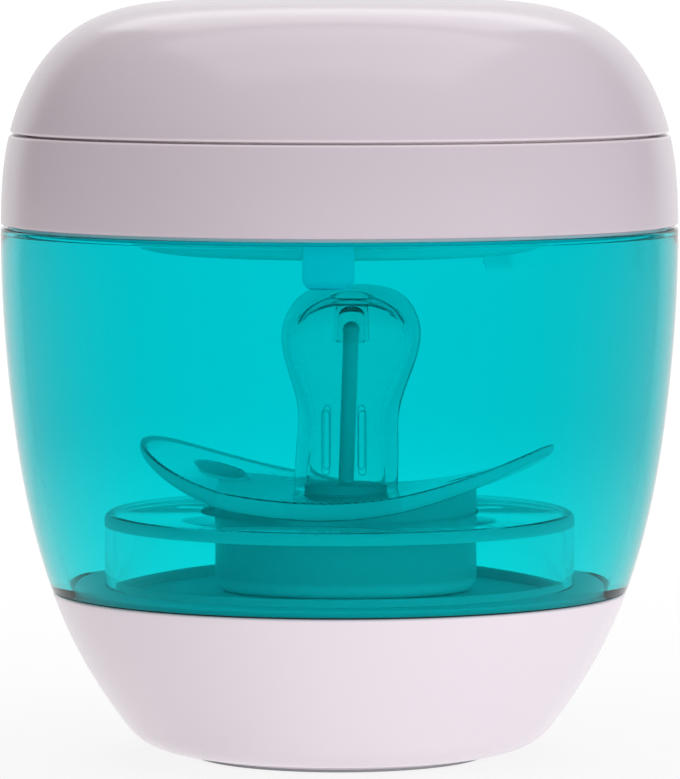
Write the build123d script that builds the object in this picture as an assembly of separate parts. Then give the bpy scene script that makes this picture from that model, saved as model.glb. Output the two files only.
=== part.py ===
from build123d import *
import os
from math import cos, radians, sin, sqrt

# Portable pacifier sterilizer case, in millimetres. +Z is up, the front faces -Y and the lid hinge
# is at the back, on +Y. The origin is the centre of the foot, on the surface the case stands on.
# A twin-wall egg is cut into bands: white base, clear tinted chamber, and a lid made of a ring and
# a dome. The lid holds the lamp, its board and the cells. The base carries the deck.

# ---- outer egg -------------------------------------------------------------------------
foot_proud = 0.3            # the foot pad stands this far below the base
base_height = 18.1          # from the underside of the base to the base seam
window_height = 40.3        # from the base seam to the rim where the lid opens
ring_height = 10.3          # the lid's ring
dome_height = 15.6          # the lid's dome
lid_room = 2.6              # the cells' outer corners to the inside of the lid at the belly
belly_rise = 0.8            # the widest level above the rim
foot_inset = 16.25          # how far inside the belly the egg lies at each level, from the foot up
base_mid_inset = 9.35
base_top_inset = 5.55
window_mid_inset = 0.95
lid_seam_inset = 0.95
shoulder_inset = 3.15
dome_inset = 6.95
corner_inset = 11.15
crown_edge_inset = 17.15
foot_round = 6.6
crown_radius = 187.0        # the dome's shallow top
foot_slope = (0.62, 0.78)    # direction of the side where it leaves the foot
side_steps = 24             # places where the wall's thickness is measured off
shell_wall = 2.0            # base and chamber
lid_wall = 1.8              # ring and dome
seam_gap = 0.3              # shadow line at the lid's opening
dome_gap = 0.25             # shadow line between dome and ring

# Three cells lie in a triangle in the lid, and the egg is sized around their outer corners.
cell_radius = 5.25
cell_length = 43.7
nub_radius = 1.9
nub_height = 0.8
cell_count = 3
cell_circle = 18.8          # middle of the lid to a cell's axis
cell_shift = 1.2            # along the cell, towards its positive end
cell_round = 0.5

cell_back = cell_shift - (cell_length + nub_height) / 2
cell_front = cell_back + cell_length
nub_end = cell_front + nub_height
cell_corner = sqrt(cell_front**2 + (cell_circle + cell_radius) ** 2)
belly_radius = cell_corner + lid_room + lid_wall

base_bottom = foot_proud
base_top = base_bottom + base_height
rim_z = base_top + window_height
lid_seam_z = rim_z + ring_height
top_z = lid_seam_z + dome_height
belly_z = rim_z + belly_rise

# ---- base ------------------------------------------------------------------------------
gasket_thickness = 0.2
gasket_inset = 0.35
tongue_depth = 1.5
tongue_thickness = 0.9
tongue_clearance = 0.1
key_count = 4               # keys on the chamber's tongue that lock it to the base
key_width = 6.0
key_height = 0.8
key_reach = 0.4
key_start = 45.0            # degrees about Z to the first key
deck_thickness = 1.2
deck_rise = 0.8             # the deck's top above the base seam
deck_gap = 0.25
stand_ring_height = 0.8
stand_ring_width = 1.1
pad_radius = 16.4
pad_thickness = 1.0
pad_round = 0.25
pad_clearance = 0.12
post_count = 3
post_circle = 12.8
post_radius = 2.8
boss_radius = 4.2
boss_height = 2.6           # above the inside floor of the base
base_screw_radius = 0.8
base_screw_bite = 6.0       # the screw's length in the deck's post
screw_head_radius = 1.9
screw_head_height = 1.2
screw_head_clearance = 0.15
screw_head_gap = 0.3        # between a head and the foot pad
screw_socket_radius = 0.9
screw_socket_depth = 0.6

# ---- chamber and hinge -----------------------------------------------------------------
rebate_depth = 0.7
rebate_width = 0.8
hinge_offset = 2.6          # hinge axis behind the belly
hinge_radius = 2.2
hinge_pin_radius = 1.0
pin_clearance = 0.06
hinge_clearance = 0.4       # between each half of the hinge and the other half's wall
lug_spacing = 24.0          # between the middles of the two lugs
lug_width = 3.7
lug_depth = 4.6             # how far a lug reaches down the chamber
lug_round = 0.7             # corners of the lug where it meets the wall
lug_sink = 0.9              # how far the lug's lower end sits inside the belly
lug_root_sink = 3.2
lug_root_drop = 1.6
hinge_pin_chamfer = 0.2
knuckle_gap = 0.3
knuckle_width = lug_spacing - lug_width - 2 * knuckle_gap
pin_length = lug_spacing + lug_width

# ---- pacifier stand --------------------------------------------------------------------
stand_radius = 26.1
stand_height = 8.0
stand_plate = 1.3
stand_wall = 1.1
stand_bore = 15.3
stand_round = 0.8           # outer top edge
stand_bore_round = 0.3

# ---- pacifier --------------------------------------------------------------------------
pacifier_turn = -15.0       # degrees about Z
pacifier_shift = 0.7        # the knob leans on the right side of the stand's bore
shield_width = 46.8
shield_depth = 35.0
shield_thickness = 2.0      # in the middle; the wings get thinner
shield_bend = 42.6          # radius of the shield's underside
shield_top_bend = 48.6      # radius of its upper side
shield_waist = 3.0          # how far the shield is scooped out at front and back
scoop_radius = 20.0
scoop_round = 4.0
vent_spacing = 29.0
vent_length = 8.0
vent_width = 5.0
knob_radius = 14.5
knob_round = 1.5
knob_rim = 3.0              # width of the knob's solid rim
knob_hollow = 2.0
pacifier_seat_gap = 0.05
nipple_neck = 6.0
nipple_bulb = 7.8
nipple_height = 22.8
nipple_flatness = 0.85
nipple_wall = 1.6
core_radius = 0.85
core_headroom = 1.1         # the core's tip below the inside of the nipple's tip
core_clearance = 0.1
core_plug_height = 1.0
core_tip_radius = 0.95

# ---- lid ring --------------------------------------------------------------------------
ring_floor = 1.6
ring_floor_rise = 0.5       # floor's underside above the rim
spigot_drop = 0.5
spigot_clearance = 0.15
tongue_width = 5.4          # the latch tongue behind the window
tongue_length = 5.1
tongue_shift = -1.15        # the tongue's middle to the left of the axis
tongue_plate = 1.2
tongue_gap = 0.45           # between the tongue and the chamber's wall
tongue_round = 1.2
spigot_wall = 1.2
knuckle_round = 0.9         # corners of the knuckle where it meets the ring
knuckle_top_round = 0.5
knuckle_sink = 1.0
knuckle_low = 1.4
knuckle_high = 3.6

# ---- lamp ------------------------------------------------------------------------------
lamp_drop = 3.2             # the lamp window below the ring's floor
lamp_wall = 1.5
lamp_round = 1.0
lamp_flange = 2.2
lamp_flange_thickness = 1.0
lamp_clearance = 0.2
seal_thickness = 0.4
reflector_wall = 0.7
reflector_mouth = 8.6
reflector_lip = 1.5         # the reflector's flat edge around its mouth
reflector_foot = 1.2
reflector_clearance = 0.2
board_thickness = 1.6
board_stand_off = 1.6       # the board above the ring's floor
led_count = 3
led_circle = 4.6
led_size = 3.5
led_height = 1.1
led_lens_radius = 1.26
led_lens_depth = 0.7
switch_size = 6.0
switch_height = 3.4
switch_stem_radius = 1.7
switch_stem_height = 0.9
switch_stem_hold = 1.2      # how deep the stem sits in the switch
switch_stem_chamfer = 0.2
switch_chamfer = 0.6
switch_play = 0.1
usb_width = 7.5
usb_height = 2.6
usb_depth = 5.4
usb_wall = 0.35
usb_recess = 0.6
port_margin = 0.5
port_round = 1.2
usb_round = 0.7
usb_tab_inset = 1.6
usb_tab_thickness = 0.6
usb_tab_recess = 0.8
board_tail_margin = 1.2     # the board's tail beyond the socket
board_tail_recess = 0.3

# ---- lid screws ------------------------------------------------------------------------
lid_screw_angles = (75.0, 105.0, 210.0, 330.0)
lid_screw_inset = 0.3       # a screw's axis inside the board's edge
lid_post_radius = 2.4
post_gap = 0.8              # between a post and the lamp window's flange
lid_screw_radius = 0.8
screw_clearance = 0.3
screw_tip_gap = 0.3
lid_screw_rise = 0.9        # the screws' tips above the underside of the ring's floor

# ---- cells and their holder ------------------------------------------------------------
cell_lift = 1.55            # lowest line of a cell above the board
holder_clearance = 0.4      # between the holder and the dome around it
holder_plate = 1.6
holder_gap = 0.4            # holder above the board
cradle_clearance = 0.15
contact_thickness = 0.4
contact_width = 6.0
contact_height = 7.0
spring_length = 2.5
spring_strip = 0.35
spring_width = 4.0
spring_clearance = 0.05
end_wall = 1.0
end_wall_margin = 0.6       # the end walls beyond the contacts on each side
cradle_end_gap = 0.3
guide_bore = 2.5
guide_wall = 1.4
guide_height = 10.5
guide_rib = 1.2
guide_rib_reach = 9.0
guide_rib_height = 5.5
guide_rib_start = 45.0      # degrees about Z to the first rib
switch_hole_margin = 0.4

# ---- dome and button -------------------------------------------------------------------
skirt_depth = 1.9
skirt_wall = 1.2
skirt_clearance = 0.15
button_radius = 6.4
button_clearance = 0.2
button_seat_gap = 0.05      # between the button's flange and the dome's tube
button_proud = 0.1
button_cap = 3.2
button_flange = 1.4
button_flange_thickness = 1.0
button_travel = 0.6
button_stem_radius = 1.9
button_tube_wall = 1.2
button_dish = 0.35
light_inner = 8.0
light_width = 0.9
light_depth = 0.9
button_round = 0.4
button_rim = 1.2            # flat rim around the button's dish
button_neck = 0.8           # the step between the cap and its flange

# ---- interlock -------------------------------------------------------------------------
interlock_angle = 58.0
interlock_inset = 4.15      # the pin's axis inside the ring's wall
interlock_pin_radius = 0.9
interlock_collar_radius = 1.5
interlock_collar = 0.3
interlock_travel = 0.8
interlock_gap = 0.15        # between the pressed pin and its rest on the chamber
interlock_play = 0.1
interlock_tip_round = 0.5
interlock_reach = 1.4       # the pressed pin below the ring's floor
interlock_switch_width = 5.2
interlock_switch_depth = 3.8
interlock_switch_height = 2.0
interlock_switch_gap = 0.5  # between the switch and the board's edge
interlock_leg = 0.8
rest_width = 3.4            # the rest moulded on the chamber's wall
rest_depth = 6.0
rest_lip = 1.2              # thickness of the rest at its free edge
rest_margin = 0.4           # the rest beyond the pin

FAR = 200.0                 # beyond the whole case
through = 1.0               # a cut runs this far past what it cuts
weld = 0.2                  # joined shapes run this far into each other


# ---- profiles --------------------------------------------------------------------------
def outline(inset=0.0):
    """Half of the egg's section in the XZ plane, with the surface moved in by inset."""
    crown_edge_radius = belly_radius - crown_edge_inset
    crown_centre = top_z - crown_radius
    crown_rise = sqrt(crown_radius**2 - crown_edge_radius**2)
    levels = [
        (foot_inset, base_bottom),
        (base_mid_inset, base_bottom + 0.54 * base_height),
        (base_top_inset, base_top),
        (window_mid_inset, base_top + 0.55 * window_height),
        (0, belly_z),
        (lid_seam_inset, lid_seam_z),
        (shoulder_inset, lid_seam_z + 0.37 * dome_height),
        (dome_inset, lid_seam_z + 0.68 * dome_height),
        (corner_inset, lid_seam_z + 0.84 * dome_height),
        (crown_edge_inset, crown_centre + crown_rise),
    ]
    points = [(belly_radius - level_inset, z) for level_inset, z in levels]
    side = Spline(*points, tangents=(foot_slope, (-crown_rise, crown_edge_radius)))
    if inset:
        steps = [i / side_steps for i in range(side_steps + 1)]
        moved = [side @ t + (side % t).rotate(Axis.Z, 90) * inset for t in steps]
        side = Spline(moved, tangents=(side % 0, side % 1))
    crown = RadiusArc(side @ 1, (0, top_z - inset), inset - crown_radius)
    low = (side @ 0).Y
    axis = Line((0, top_z - inset), (0, low))
    foot = Line((0, low), side @ 0)
    half = make_face([foot, side, crown, axis]) & slab(base_bottom + inset, top_z)
    corner = half.vertices().group_by(Axis.Y)[0].sort_by(Axis.X)[-1]
    return fillet(corner, foot_round - inset)


def slab(low, high):
    """Everything right of the axis between two levels, as a face to cut a section with."""
    return Pos(FAR / 2, (low + high) / 2) * Rectangle(FAR, high - low)


def spin(section):
    """Turns a section drawn with X as radius and Y as height into a solid about Z."""
    return revolve(Plane.XZ * section, Axis.Z, 360)


def disc(radius, low, high, bore=0.0):
    """A round plate or tube between two levels."""
    plate = Pos(0, 0, (low + high) / 2) * Cylinder(radius, high - low)
    if bore:
        plate -= Pos(0, 0, (low + high) / 2) * Cylinder(bore, high - low + 1)
    return plate


def block(x, y, z):
    """A box from pairs of limits."""
    centre = [sum(pair) / 2 for pair in (x, y, z)]
    size = [pair[1] - pair[0] for pair in (x, y, z)]
    return Pos(*centre) * Box(*size)


egg = outline()
egg_inside = outline(shell_wall)
lid_inside = outline(lid_wall)


def radius_at(section, z):
    """Radius of a section at a level."""
    return (Line((0, z), (FAR, z)) & section).bounding_box().max.X


def band(inside, low, high):
    """Wall of the egg between two levels."""
    return spin((egg - inside) & slab(low, high))


def around(count, circle, start=90.0):
    """Places on a circle about Z, as locations turned to face outwards."""
    step = 360.0 / count
    return [Rot(0, 0, start + i * step) * Pos(circle, 0, 0) for i in range(count)]


# ---- levels that several pieces share --------------------------------------------------
base_floor_z = base_bottom + shell_wall
boss_top = base_floor_z + boss_height
base_head_top = pad_thickness + screw_head_gap + screw_head_height
deck_top = base_top + deck_rise
deck_bottom = deck_top - deck_thickness
chamber_bottom = base_top + gasket_thickness
chamber_top = rim_z
ring_bottom = rim_z + seam_gap
ring_top = lid_seam_z - dome_gap / 2
dome_bottom = lid_seam_z + dome_gap / 2
floor_bottom = rim_z + ring_floor_rise
floor_top = floor_bottom + ring_floor
lamp_bottom = floor_bottom - lamp_drop
board_bottom = floor_top + board_stand_off
board_top = board_bottom + board_thickness
holder_bottom = board_top + holder_gap
holder_top = holder_bottom + holder_plate
lid_screw_tip = floor_bottom + lid_screw_rise
cell_axis_z = board_top + cell_lift + cell_radius
mouth_radius = radius_at(egg_inside, chamber_top)
interlock_circle = radius_at(lid_inside, floor_top) - interlock_inset
board_radius = interlock_circle - interlock_switch_depth / 2 - interlock_switch_gap
lid_screw_circle = board_radius - lid_screw_inset
lamp_radius = lid_screw_circle - lid_post_radius - post_gap - lamp_flange
switch_stem_top = board_top + switch_height + switch_stem_height
switch_stem_low = board_top + switch_height - switch_stem_hold
hinge_y = belly_radius + hinge_offset
hinge_z = rim_z + seam_gap / 2
tongue_outer = radius_at(egg_inside, base_top) + tongue_thickness + tongue_clearance
skirt_out = radius_at(lid_inside, ring_top) - skirt_clearance
skirt_in = skirt_out - skirt_wall
holder_radius = skirt_in - holder_clearance
stand_top = deck_top + stand_height


# ---- base ------------------------------------------------------------------------------
def make_base_shell():
    shell = band(egg_inside, base_bottom, base_top)
    groove = tongue_outer + tongue_clearance
    shell -= disc(groove, base_top - tongue_depth - tongue_clearance, base_top + through)
    for spot in around(key_count, 0, start=key_start):
        shell -= spot * key_pocket()
    for spot in around(post_count, post_circle):
        shell += spot * disc(boss_radius, base_floor_z - weld, boss_top)
    shell -= disc(pad_radius + pad_clearance, 0, pad_thickness)
    for spot in around(post_count, post_circle):
        shell -= spot * disc(screw_head_radius + screw_head_clearance, 0, base_head_top)
        shell -= spot * disc(base_screw_radius + screw_clearance, 0, boss_top + through)
    return shell


def key():
    """A locking key on the chamber's tongue, at +X."""
    low = base_top - tongue_depth
    reach = (tongue_outer - tongue_thickness, tongue_outer + key_reach)
    return block(reach, (-key_width / 2, key_width / 2), (low, low + key_height))


def key_pocket():
    """Room for a key, with the way in from above."""
    half = key_width / 2 + tongue_clearance
    reach = (tongue_outer - tongue_thickness, tongue_outer + key_reach + tongue_clearance)
    low = base_top - tongue_depth - tongue_clearance
    return block(reach, (-half, half), (low, base_top + through))


def make_base_gasket():
    low_part = disc(FAR / 2, base_top, chamber_bottom, tongue_outer + tongue_clearance)
    return low_part & spin(outline(gasket_inset))


def make_base_deck():
    radius = radius_at(egg_inside, chamber_bottom) - deck_gap
    deck = disc(radius, deck_bottom, deck_top)
    ring_out = stand_radius - stand_wall - deck_gap
    deck += disc(ring_out, deck_top, deck_top + stand_ring_height, ring_out - stand_ring_width)
    for spot in around(post_count, post_circle):
        deck += spot * disc(post_radius, boss_top, deck_bottom)
        deck -= spot * disc(base_screw_radius, boss_top - through, deck_bottom - through)
    return deck


def make_base_screws():
    head_low = base_head_top - screw_head_height
    screw = disc(screw_head_radius, head_low, base_head_top)
    screw -= disc(screw_socket_radius, head_low - through, head_low + screw_socket_depth)
    screw += disc(base_screw_radius, base_head_top - weld, boss_top + base_screw_bite)
    return Compound([spot * screw for spot in around(post_count, post_circle)])


def make_foot_pad():
    pad = disc(pad_radius, 0, pad_thickness)
    return fillet(pad.edges().sort_by(Axis.Z)[0], pad_round)


# ---- chamber ---------------------------------------------------------------------------
def hinge_pair(radius, width):
    """Cylinders along the hinge axis."""
    return Pos(0, hinge_y, hinge_z) * Rot(0, 90, 0) * Cylinder(radius, width)


def make_chamber():
    wall = band(egg_inside, chamber_bottom, chamber_top)
    inner = radius_at(egg_inside, chamber_bottom)
    wall += disc(tongue_outer, base_top - tongue_depth, chamber_bottom + weld, inner)
    for spot in around(key_count, 0, start=key_start):
        wall += spot * key()
    wall -= disc(inner, base_top - tongue_depth - through, chamber_bottom + through)
    outer = spin(egg)
    above_rim = disc(belly_radius + hinge_clearance, rim_z, top_z)
    for side in (-1, 1):
        wall += hinge_lug(side * lug_spacing / 2) - spin(egg_inside) - above_rim
    wall -= disc(mouth_radius + rebate_width, chamber_top - rebate_depth, chamber_top + through)
    wall += interlock_rest() & outer
    wall -= hinge_pair(hinge_pin_radius, pin_length + through)
    return wall


def hinge_lug(x):
    """One lug at the back: an eye around the pin, running down into the wall."""
    eye = Pos(hinge_y, hinge_z) * Circle(hinge_radius)
    foot = Pos(belly_radius - lug_sink, hinge_z - lug_depth) * Circle(lug_round)
    root = Pos(belly_radius - lug_root_sink, chamber_top - lug_root_drop) * Circle(lug_round)
    section = make_hull(eye.edges() + foot.edges() + root.edges())
    return Pos(x, 0, 0) * extrude(Plane.YZ * section, lug_width / 2, both=True)


def interlock_rest():
    """A small shelf on the chamber's wall that holds the interlock pin in when the lid is shut."""
    top = floor_bottom - interlock_reach - interlock_gap
    low = top - rest_depth
    wall_in = radius_at(egg_inside, top)
    root = wall_in + shell_wall / 2
    inner = interlock_circle - interlock_pin_radius - rest_margin
    corners = [(inner, top), (root, top), (root, low), (inner, top - rest_lip), (inner, top)]
    section = make_face(Polyline(*corners))
    shelf = extrude(Plane.XZ * section, rest_width / 2, both=True)
    return Rot(0, 0, interlock_angle) * shelf


def make_hinge_pin():
    pin = hinge_pair(hinge_pin_radius, pin_length)
    return chamfer(pin.edges().filter_by(GeomType.CIRCLE), hinge_pin_chamfer)


# ---- stand -----------------------------------------------------------------------------
def make_stand():
    low = deck_top
    stand = disc(stand_radius, low, stand_top)
    stand = fillet(stand.edges().filter_by(GeomType.CIRCLE).sort_by(Axis.Z)[-1], stand_round)
    stand -= disc(stand_radius - stand_wall, low - through, stand_top - stand_plate)
    stand -= disc(stand_bore, low - through, stand_top + through)
    top_edges = stand.edges().filter_by(GeomType.CIRCLE).group_by(Axis.Z)[-1]
    return fillet(top_edges.sort_by(SortBy.RADIUS)[0], stand_bore_round)


# ---- pacifier --------------------------------------------------------------------------
shield_bottom = stand_top + pacifier_seat_gap
shield_top = shield_bottom + shield_thickness
core_plug_radius = nipple_neck - nipple_wall - core_clearance
core_height = nipple_height - nipple_wall - core_headroom - core_tip_radius
pacifier_frame = Pos(pacifier_shift, 0, 0) * Rot(0, 0, pacifier_turn)


def above_arc(radius, z):
    """Everything above a trough of that radius whose lowest line is at z, along Y."""
    trough = Pos(0, z + radius) * Circle(radius)
    upper = Pos(0, z + radius + FAR / 2) * Rectangle(2 * radius, FAR)
    return extrude(Plane.XZ * (trough + upper), shield_depth, both=True)


def plug(low, high):
    """The core's oval plug between two levels."""
    oval = Ellipse(core_plug_radius, core_plug_radius * nipple_flatness)
    return Pos(0, 0, low) * extrude(oval, high - low)


def make_pacifier_shield():
    plate = above_arc(shield_bend, shield_bottom) - above_arc(shield_top_bend, shield_top)
    oval = Ellipse(shield_width / 2, shield_depth / 2)
    for side in (-1, 1):
        oval -= Pos(0, side * (shield_depth / 2 + scoop_radius - shield_waist)) * Circle(scoop_radius)
    oval = fillet(oval.vertices(), scoop_round)
    for side in (-1, 1):
        oval -= Pos(side * vent_spacing / 2, 0) * Ellipse(vent_width / 2, vent_length / 2)
    shield = plate & Pos(0, 0, shield_bottom - through) * extrude(oval, shield_bend)
    shield -= plug(shield_bottom - through, shield_top + through)
    return pacifier_frame * shield


def make_pacifier_knob():
    low = deck_top + pacifier_seat_gap
    knob = disc(knob_radius, low, shield_bottom + shield_bend)
    knob = fillet(knob.edges().sort_by(Axis.Z)[0], knob_round)
    knob -= disc(knob_radius - knob_rim, low - through, low + knob_hollow)
    knob -= above_arc(shield_bend, shield_bottom)
    return pacifier_frame * knob


def nipple_section(inset=0.0):
    """Half section of the nipple, X as radius, standing on the shield."""
    height = nipple_height - inset
    side = Spline(
        (nipple_neck - inset, 0),
        (nipple_neck - inset - 0.1, 0.34 * nipple_height),
        (nipple_bulb - inset, 0.78 * nipple_height),
        (0.6 * (nipple_bulb - inset), height - 0.07 * nipple_height),
        (0, height),
        tangents=((0, 1), (-1, 0)),
    )
    return make_face([Line((0, 0), (nipple_neck - inset, 0)), side, Line((0, height), (0, 0))])


def make_pacifier_nipple():
    outside = spin(nipple_section())
    inside = spin(nipple_section(nipple_wall))
    nipple = scale(outside - inside, by=(1, nipple_flatness, 1))
    nipple = Pos(0, 0, shield_top) * nipple
    return pacifier_frame * (nipple & above_arc(shield_top_bend, shield_top))


def make_pacifier_core():
    core = plug(shield_bottom, shield_top + core_plug_height) & above_arc(shield_bend, shield_bottom)
    core += disc(core_radius, shield_top, shield_top + core_height)
    core += Pos(0, 0, shield_top + core_height) * Sphere(core_tip_radius)
    return pacifier_frame * core


# ---- lid ring --------------------------------------------------------------------------
def lid_screw_spots():
    return [Rot(0, 0, angle) * Pos(lid_screw_circle, 0, 0) for angle in lid_screw_angles]


def make_lid_ring():
    ring = band(lid_inside, ring_bottom, ring_top)
    floor = disc(FAR / 2, floor_bottom, floor_top) & spin(outline(lid_wall / 2))
    ring += floor
    spigot_out = mouth_radius + rebate_width - spigot_clearance
    ring += disc(spigot_out, rim_z - spigot_drop, floor_bottom + weld, spigot_out - spigot_wall)
    ring -= disc(lamp_radius + lamp_clearance, floor_bottom - through, floor_top + through)
    for spot in lid_screw_spots():
        ring += spot * disc(lid_post_radius, floor_top - weld, board_bottom)
        ring -= spot * disc(lid_screw_radius, lid_screw_tip - screw_tip_gap, board_bottom + through)
    ring += latch_tongue()
    ring += hinge_knuckle()
    ring -= hinge_pair(hinge_pin_radius + pin_clearance, knuckle_width + through)
    ring -= usb_port()
    ring -= interlock_hole()
    return ring


def latch_tongue():
    """The tongue behind the window that keeps the lid from lifting at the front."""
    wall_in = radius_at(egg_inside, chamber_top - tongue_length)
    front = -(wall_in - tongue_gap)
    sides = (tongue_shift - tongue_width / 2, tongue_shift + tongue_width / 2)
    low = chamber_top - tongue_length
    tongue = block(sides, (front, front + tongue_plate), (low, floor_bottom + weld))
    return fillet(tongue.edges().filter_by(Axis.Y).group_by(Axis.Z)[0], tongue_round)


def hinge_knuckle():
    """The lid's half of the hinge, between the chamber's lugs."""
    eye = Pos(hinge_y, hinge_z) * Circle(hinge_radius)
    root_low = Pos(belly_radius - knuckle_sink, ring_bottom + knuckle_low) * Circle(knuckle_round)
    root_high = Pos(belly_radius - knuckle_sink, ring_bottom + knuckle_high) * Circle(knuckle_top_round)
    section = make_hull(eye.edges() + root_low.edges() + root_high.edges())
    body = extrude(Plane.YZ * section, knuckle_width / 2, both=True)
    return body - spin(outline(lid_wall / 2)) - disc(belly_radius + hinge_clearance, 0, ring_bottom)


def usb_port():
    """Slot in the ring's back wall around the charging socket."""
    half_x = usb_width / 2 + port_margin
    half_z = usb_height / 2 + port_margin
    middle = board_top + usb_height / 2
    sides = (-half_x, half_x)
    slot = block(sides, (usb_front() - usb_depth, FAR / 2), (middle - half_z, middle + half_z))
    return fillet(slot.edges().filter_by(Axis.Y), port_round)


def interlock_hole():
    spot = Rot(0, 0, interlock_angle) * Pos(interlock_circle, 0, 0)
    hole = interlock_pin_radius + interlock_play
    return spot * disc(hole, pin_tip - through, floor_top + through)


# ---- lamp ------------------------------------------------------------------------------
def make_lamp_window():
    flange_low = floor_top + seal_thickness
    flange_top = flange_low + lamp_flange_thickness
    body = disc(lamp_radius, lamp_bottom, flange_top)
    body = fillet(body.edges().sort_by(Axis.Z)[0], lamp_round)
    body += disc(lamp_radius + lamp_flange, flange_low, flange_top)
    body -= disc(lamp_radius - lamp_wall, lamp_bottom + lamp_wall, flange_top + through)
    return body


def make_window_seal():
    inner = lamp_radius + lamp_clearance
    return disc(lamp_radius + lamp_flange, floor_top, floor_top + seal_thickness, inner)


def make_lamp_reflector():
    low = lamp_bottom + lamp_wall
    high = floor_top + seal_thickness + lamp_flange_thickness - reflector_clearance / 2
    wide = lamp_radius - lamp_wall - reflector_clearance
    corners = [
        (wide, low),
        (wide, low + reflector_wall),
        (reflector_mouth + reflector_lip, high),
        (reflector_mouth, high),
        (reflector_mouth, high - reflector_wall),
        (wide - reflector_foot, low),
        (wide, low),
    ]
    return spin(make_face(Polyline(*corners)))


def make_main_board():
    board = disc(board_radius, board_bottom, board_top)
    half = usb_width / 2 + board_tail_margin
    board += block((-half, half), (0, usb_front() - board_tail_recess), (board_bottom, board_top))
    hole = lid_screw_radius + screw_clearance
    for spot in lid_screw_spots():
        board -= spot * disc(hole, board_bottom - through, board_top + through)
    return board


def make_uv_leds():
    low = board_bottom - led_height
    half = led_size / 2
    package = block((-half, half), (-half, half), (low, board_bottom))
    package -= disc(led_lens_radius, low - through, low + led_lens_depth)
    return Compound([spot * package for spot in around(led_count, led_circle)])


def make_button_switch():
    half = switch_size / 2
    body = block((-half, half), (-half, half), (board_top, board_top + switch_height))
    body = chamfer(body.edges().filter_by(Axis.Z), switch_chamfer)
    well_bottom = switch_stem_low - button_travel - switch_play
    return body - disc(switch_stem_radius + pin_clearance, well_bottom, top_z)


def make_switch_stem():
    stem = disc(switch_stem_radius, switch_stem_low, switch_stem_top)
    return chamfer(stem.edges().sort_by(Axis.Z)[-1], switch_stem_chamfer)


def usb_front():
    """Y of the charging socket's mouth."""
    return radius_at(lid_inside, board_top + usb_height / 2) - usb_recess


def make_usb_socket():
    front = usb_front()
    half = usb_width / 2
    shell = block((-half, half), (front - usb_depth, front), (board_top, board_top + usb_height))
    shell = fillet(shell.edges().filter_by(Axis.Y), usb_round)
    back = front - usb_depth + usb_wall
    inner = half - usb_wall
    heights = (board_top + usb_wall, board_top + usb_height - usb_wall)
    hollow = block((-inner, inner), (back, front + through), heights)
    hollow = fillet(hollow.edges().filter_by(Axis.Y), usb_round - usb_wall)
    tab_half = half - usb_tab_inset
    tab_low = board_top + (usb_height - usb_tab_thickness) / 2
    tab_depth = (back - weld, front - usb_tab_recess)
    tab = block((-tab_half, tab_half), tab_depth, (tab_low, tab_low + usb_tab_thickness))
    return shell - hollow + tab


def make_lid_screws():
    head_top = holder_top + screw_head_height
    screw = disc(screw_head_radius, holder_top, head_top)
    screw -= disc(screw_socket_radius, head_top - screw_socket_depth, head_top + through)
    screw += disc(lid_screw_radius, lid_screw_tip, holder_top + weld)
    return Compound([spot * screw for spot in lid_screw_spots()])


# ---- cells -----------------------------------------------------------------------------
def cell_spots():
    """One frame per cell: X to its positive end, Y outwards, origin on the cell's axis."""
    step = 360.0 / cell_count
    return [Rot(0, 0, i * step) * Pos(0, cell_circle, cell_axis_z) for i in range(cell_count)]


def along(radius, low, high):
    """A cylinder along X between two places."""
    return Pos((low + high) / 2, 0, 0) * Rot(0, 90, 0) * Cylinder(radius, high - low)


def make_cell(spot):
    can = along(cell_radius, cell_back, cell_front)
    can = fillet(can.edges().filter_by(GeomType.CIRCLE), cell_round)
    return spot * (can + along(nub_radius, cell_front - weld, nub_end))


def make_battery_holder():
    holder = disc(holder_radius, holder_bottom, holder_top)
    notch = usb_width / 2 + port_margin
    cut = (holder_bottom - through, holder_top + through)
    holder -= block((-notch, notch), (usb_front() - usb_depth - port_margin, FAR / 2), cut)
    half = contact_width / 2 + end_wall_margin
    low = holder_top - weld - cell_axis_z
    high = contact_height / 2
    back_wall = cell_back - spring_length - contact_thickness
    front_wall = nub_end + contact_thickness
    for spot in cell_spots():
        holder += spot * block((back_wall - end_wall, back_wall), (-half, half), (low, high))
        holder += spot * block((front_wall, front_wall + end_wall), (-half, half), (low, high))
    holder &= disc(holder_radius, holder_bottom, top_z)
    holder &= spin(outline(lid_wall + holder_clearance))
    for spot in cell_spots():
        cradle = (cell_back - cradle_end_gap, cell_front + cradle_end_gap)
        holder -= spot * along(cell_radius + cradle_clearance, *cradle)
    guide_low = board_top + switch_height + switch_stem_height / 2
    switch_hole = switch_size / sqrt(2) + switch_hole_margin
    holder -= disc(switch_hole, *cut)
    guide = disc(guide_bore + guide_wall, guide_low, holder_bottom + guide_height, guide_bore)
    sides = (-guide_rib / 2, guide_rib / 2)
    rib_top = holder_bottom + guide_rib_height
    for spot in around(4, 0, start=guide_rib_start):
        guide += spot * block((guide_bore + weld, guide_rib_reach), sides, (guide_low, rib_top))
        beside_hole = (switch_hole + through / 2, guide_rib_reach)
        guide += spot * block(beside_hole, sides, (holder_bottom, rib_top))
    holder += guide
    screw_hole = lid_screw_radius + screw_clearance
    for spot in lid_screw_spots():
        holder += spot * disc(lid_post_radius, board_top, holder_bottom + weld)
        holder -= spot * disc(screw_hole, board_top - through, holder_top + through)
    return holder


def make_contact_plates():
    half = contact_width / 2
    plate = block((nub_end, nub_end + contact_thickness), (-half, half), (-half, half))
    return Compound([spot * plate for spot in cell_spots()])


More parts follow.
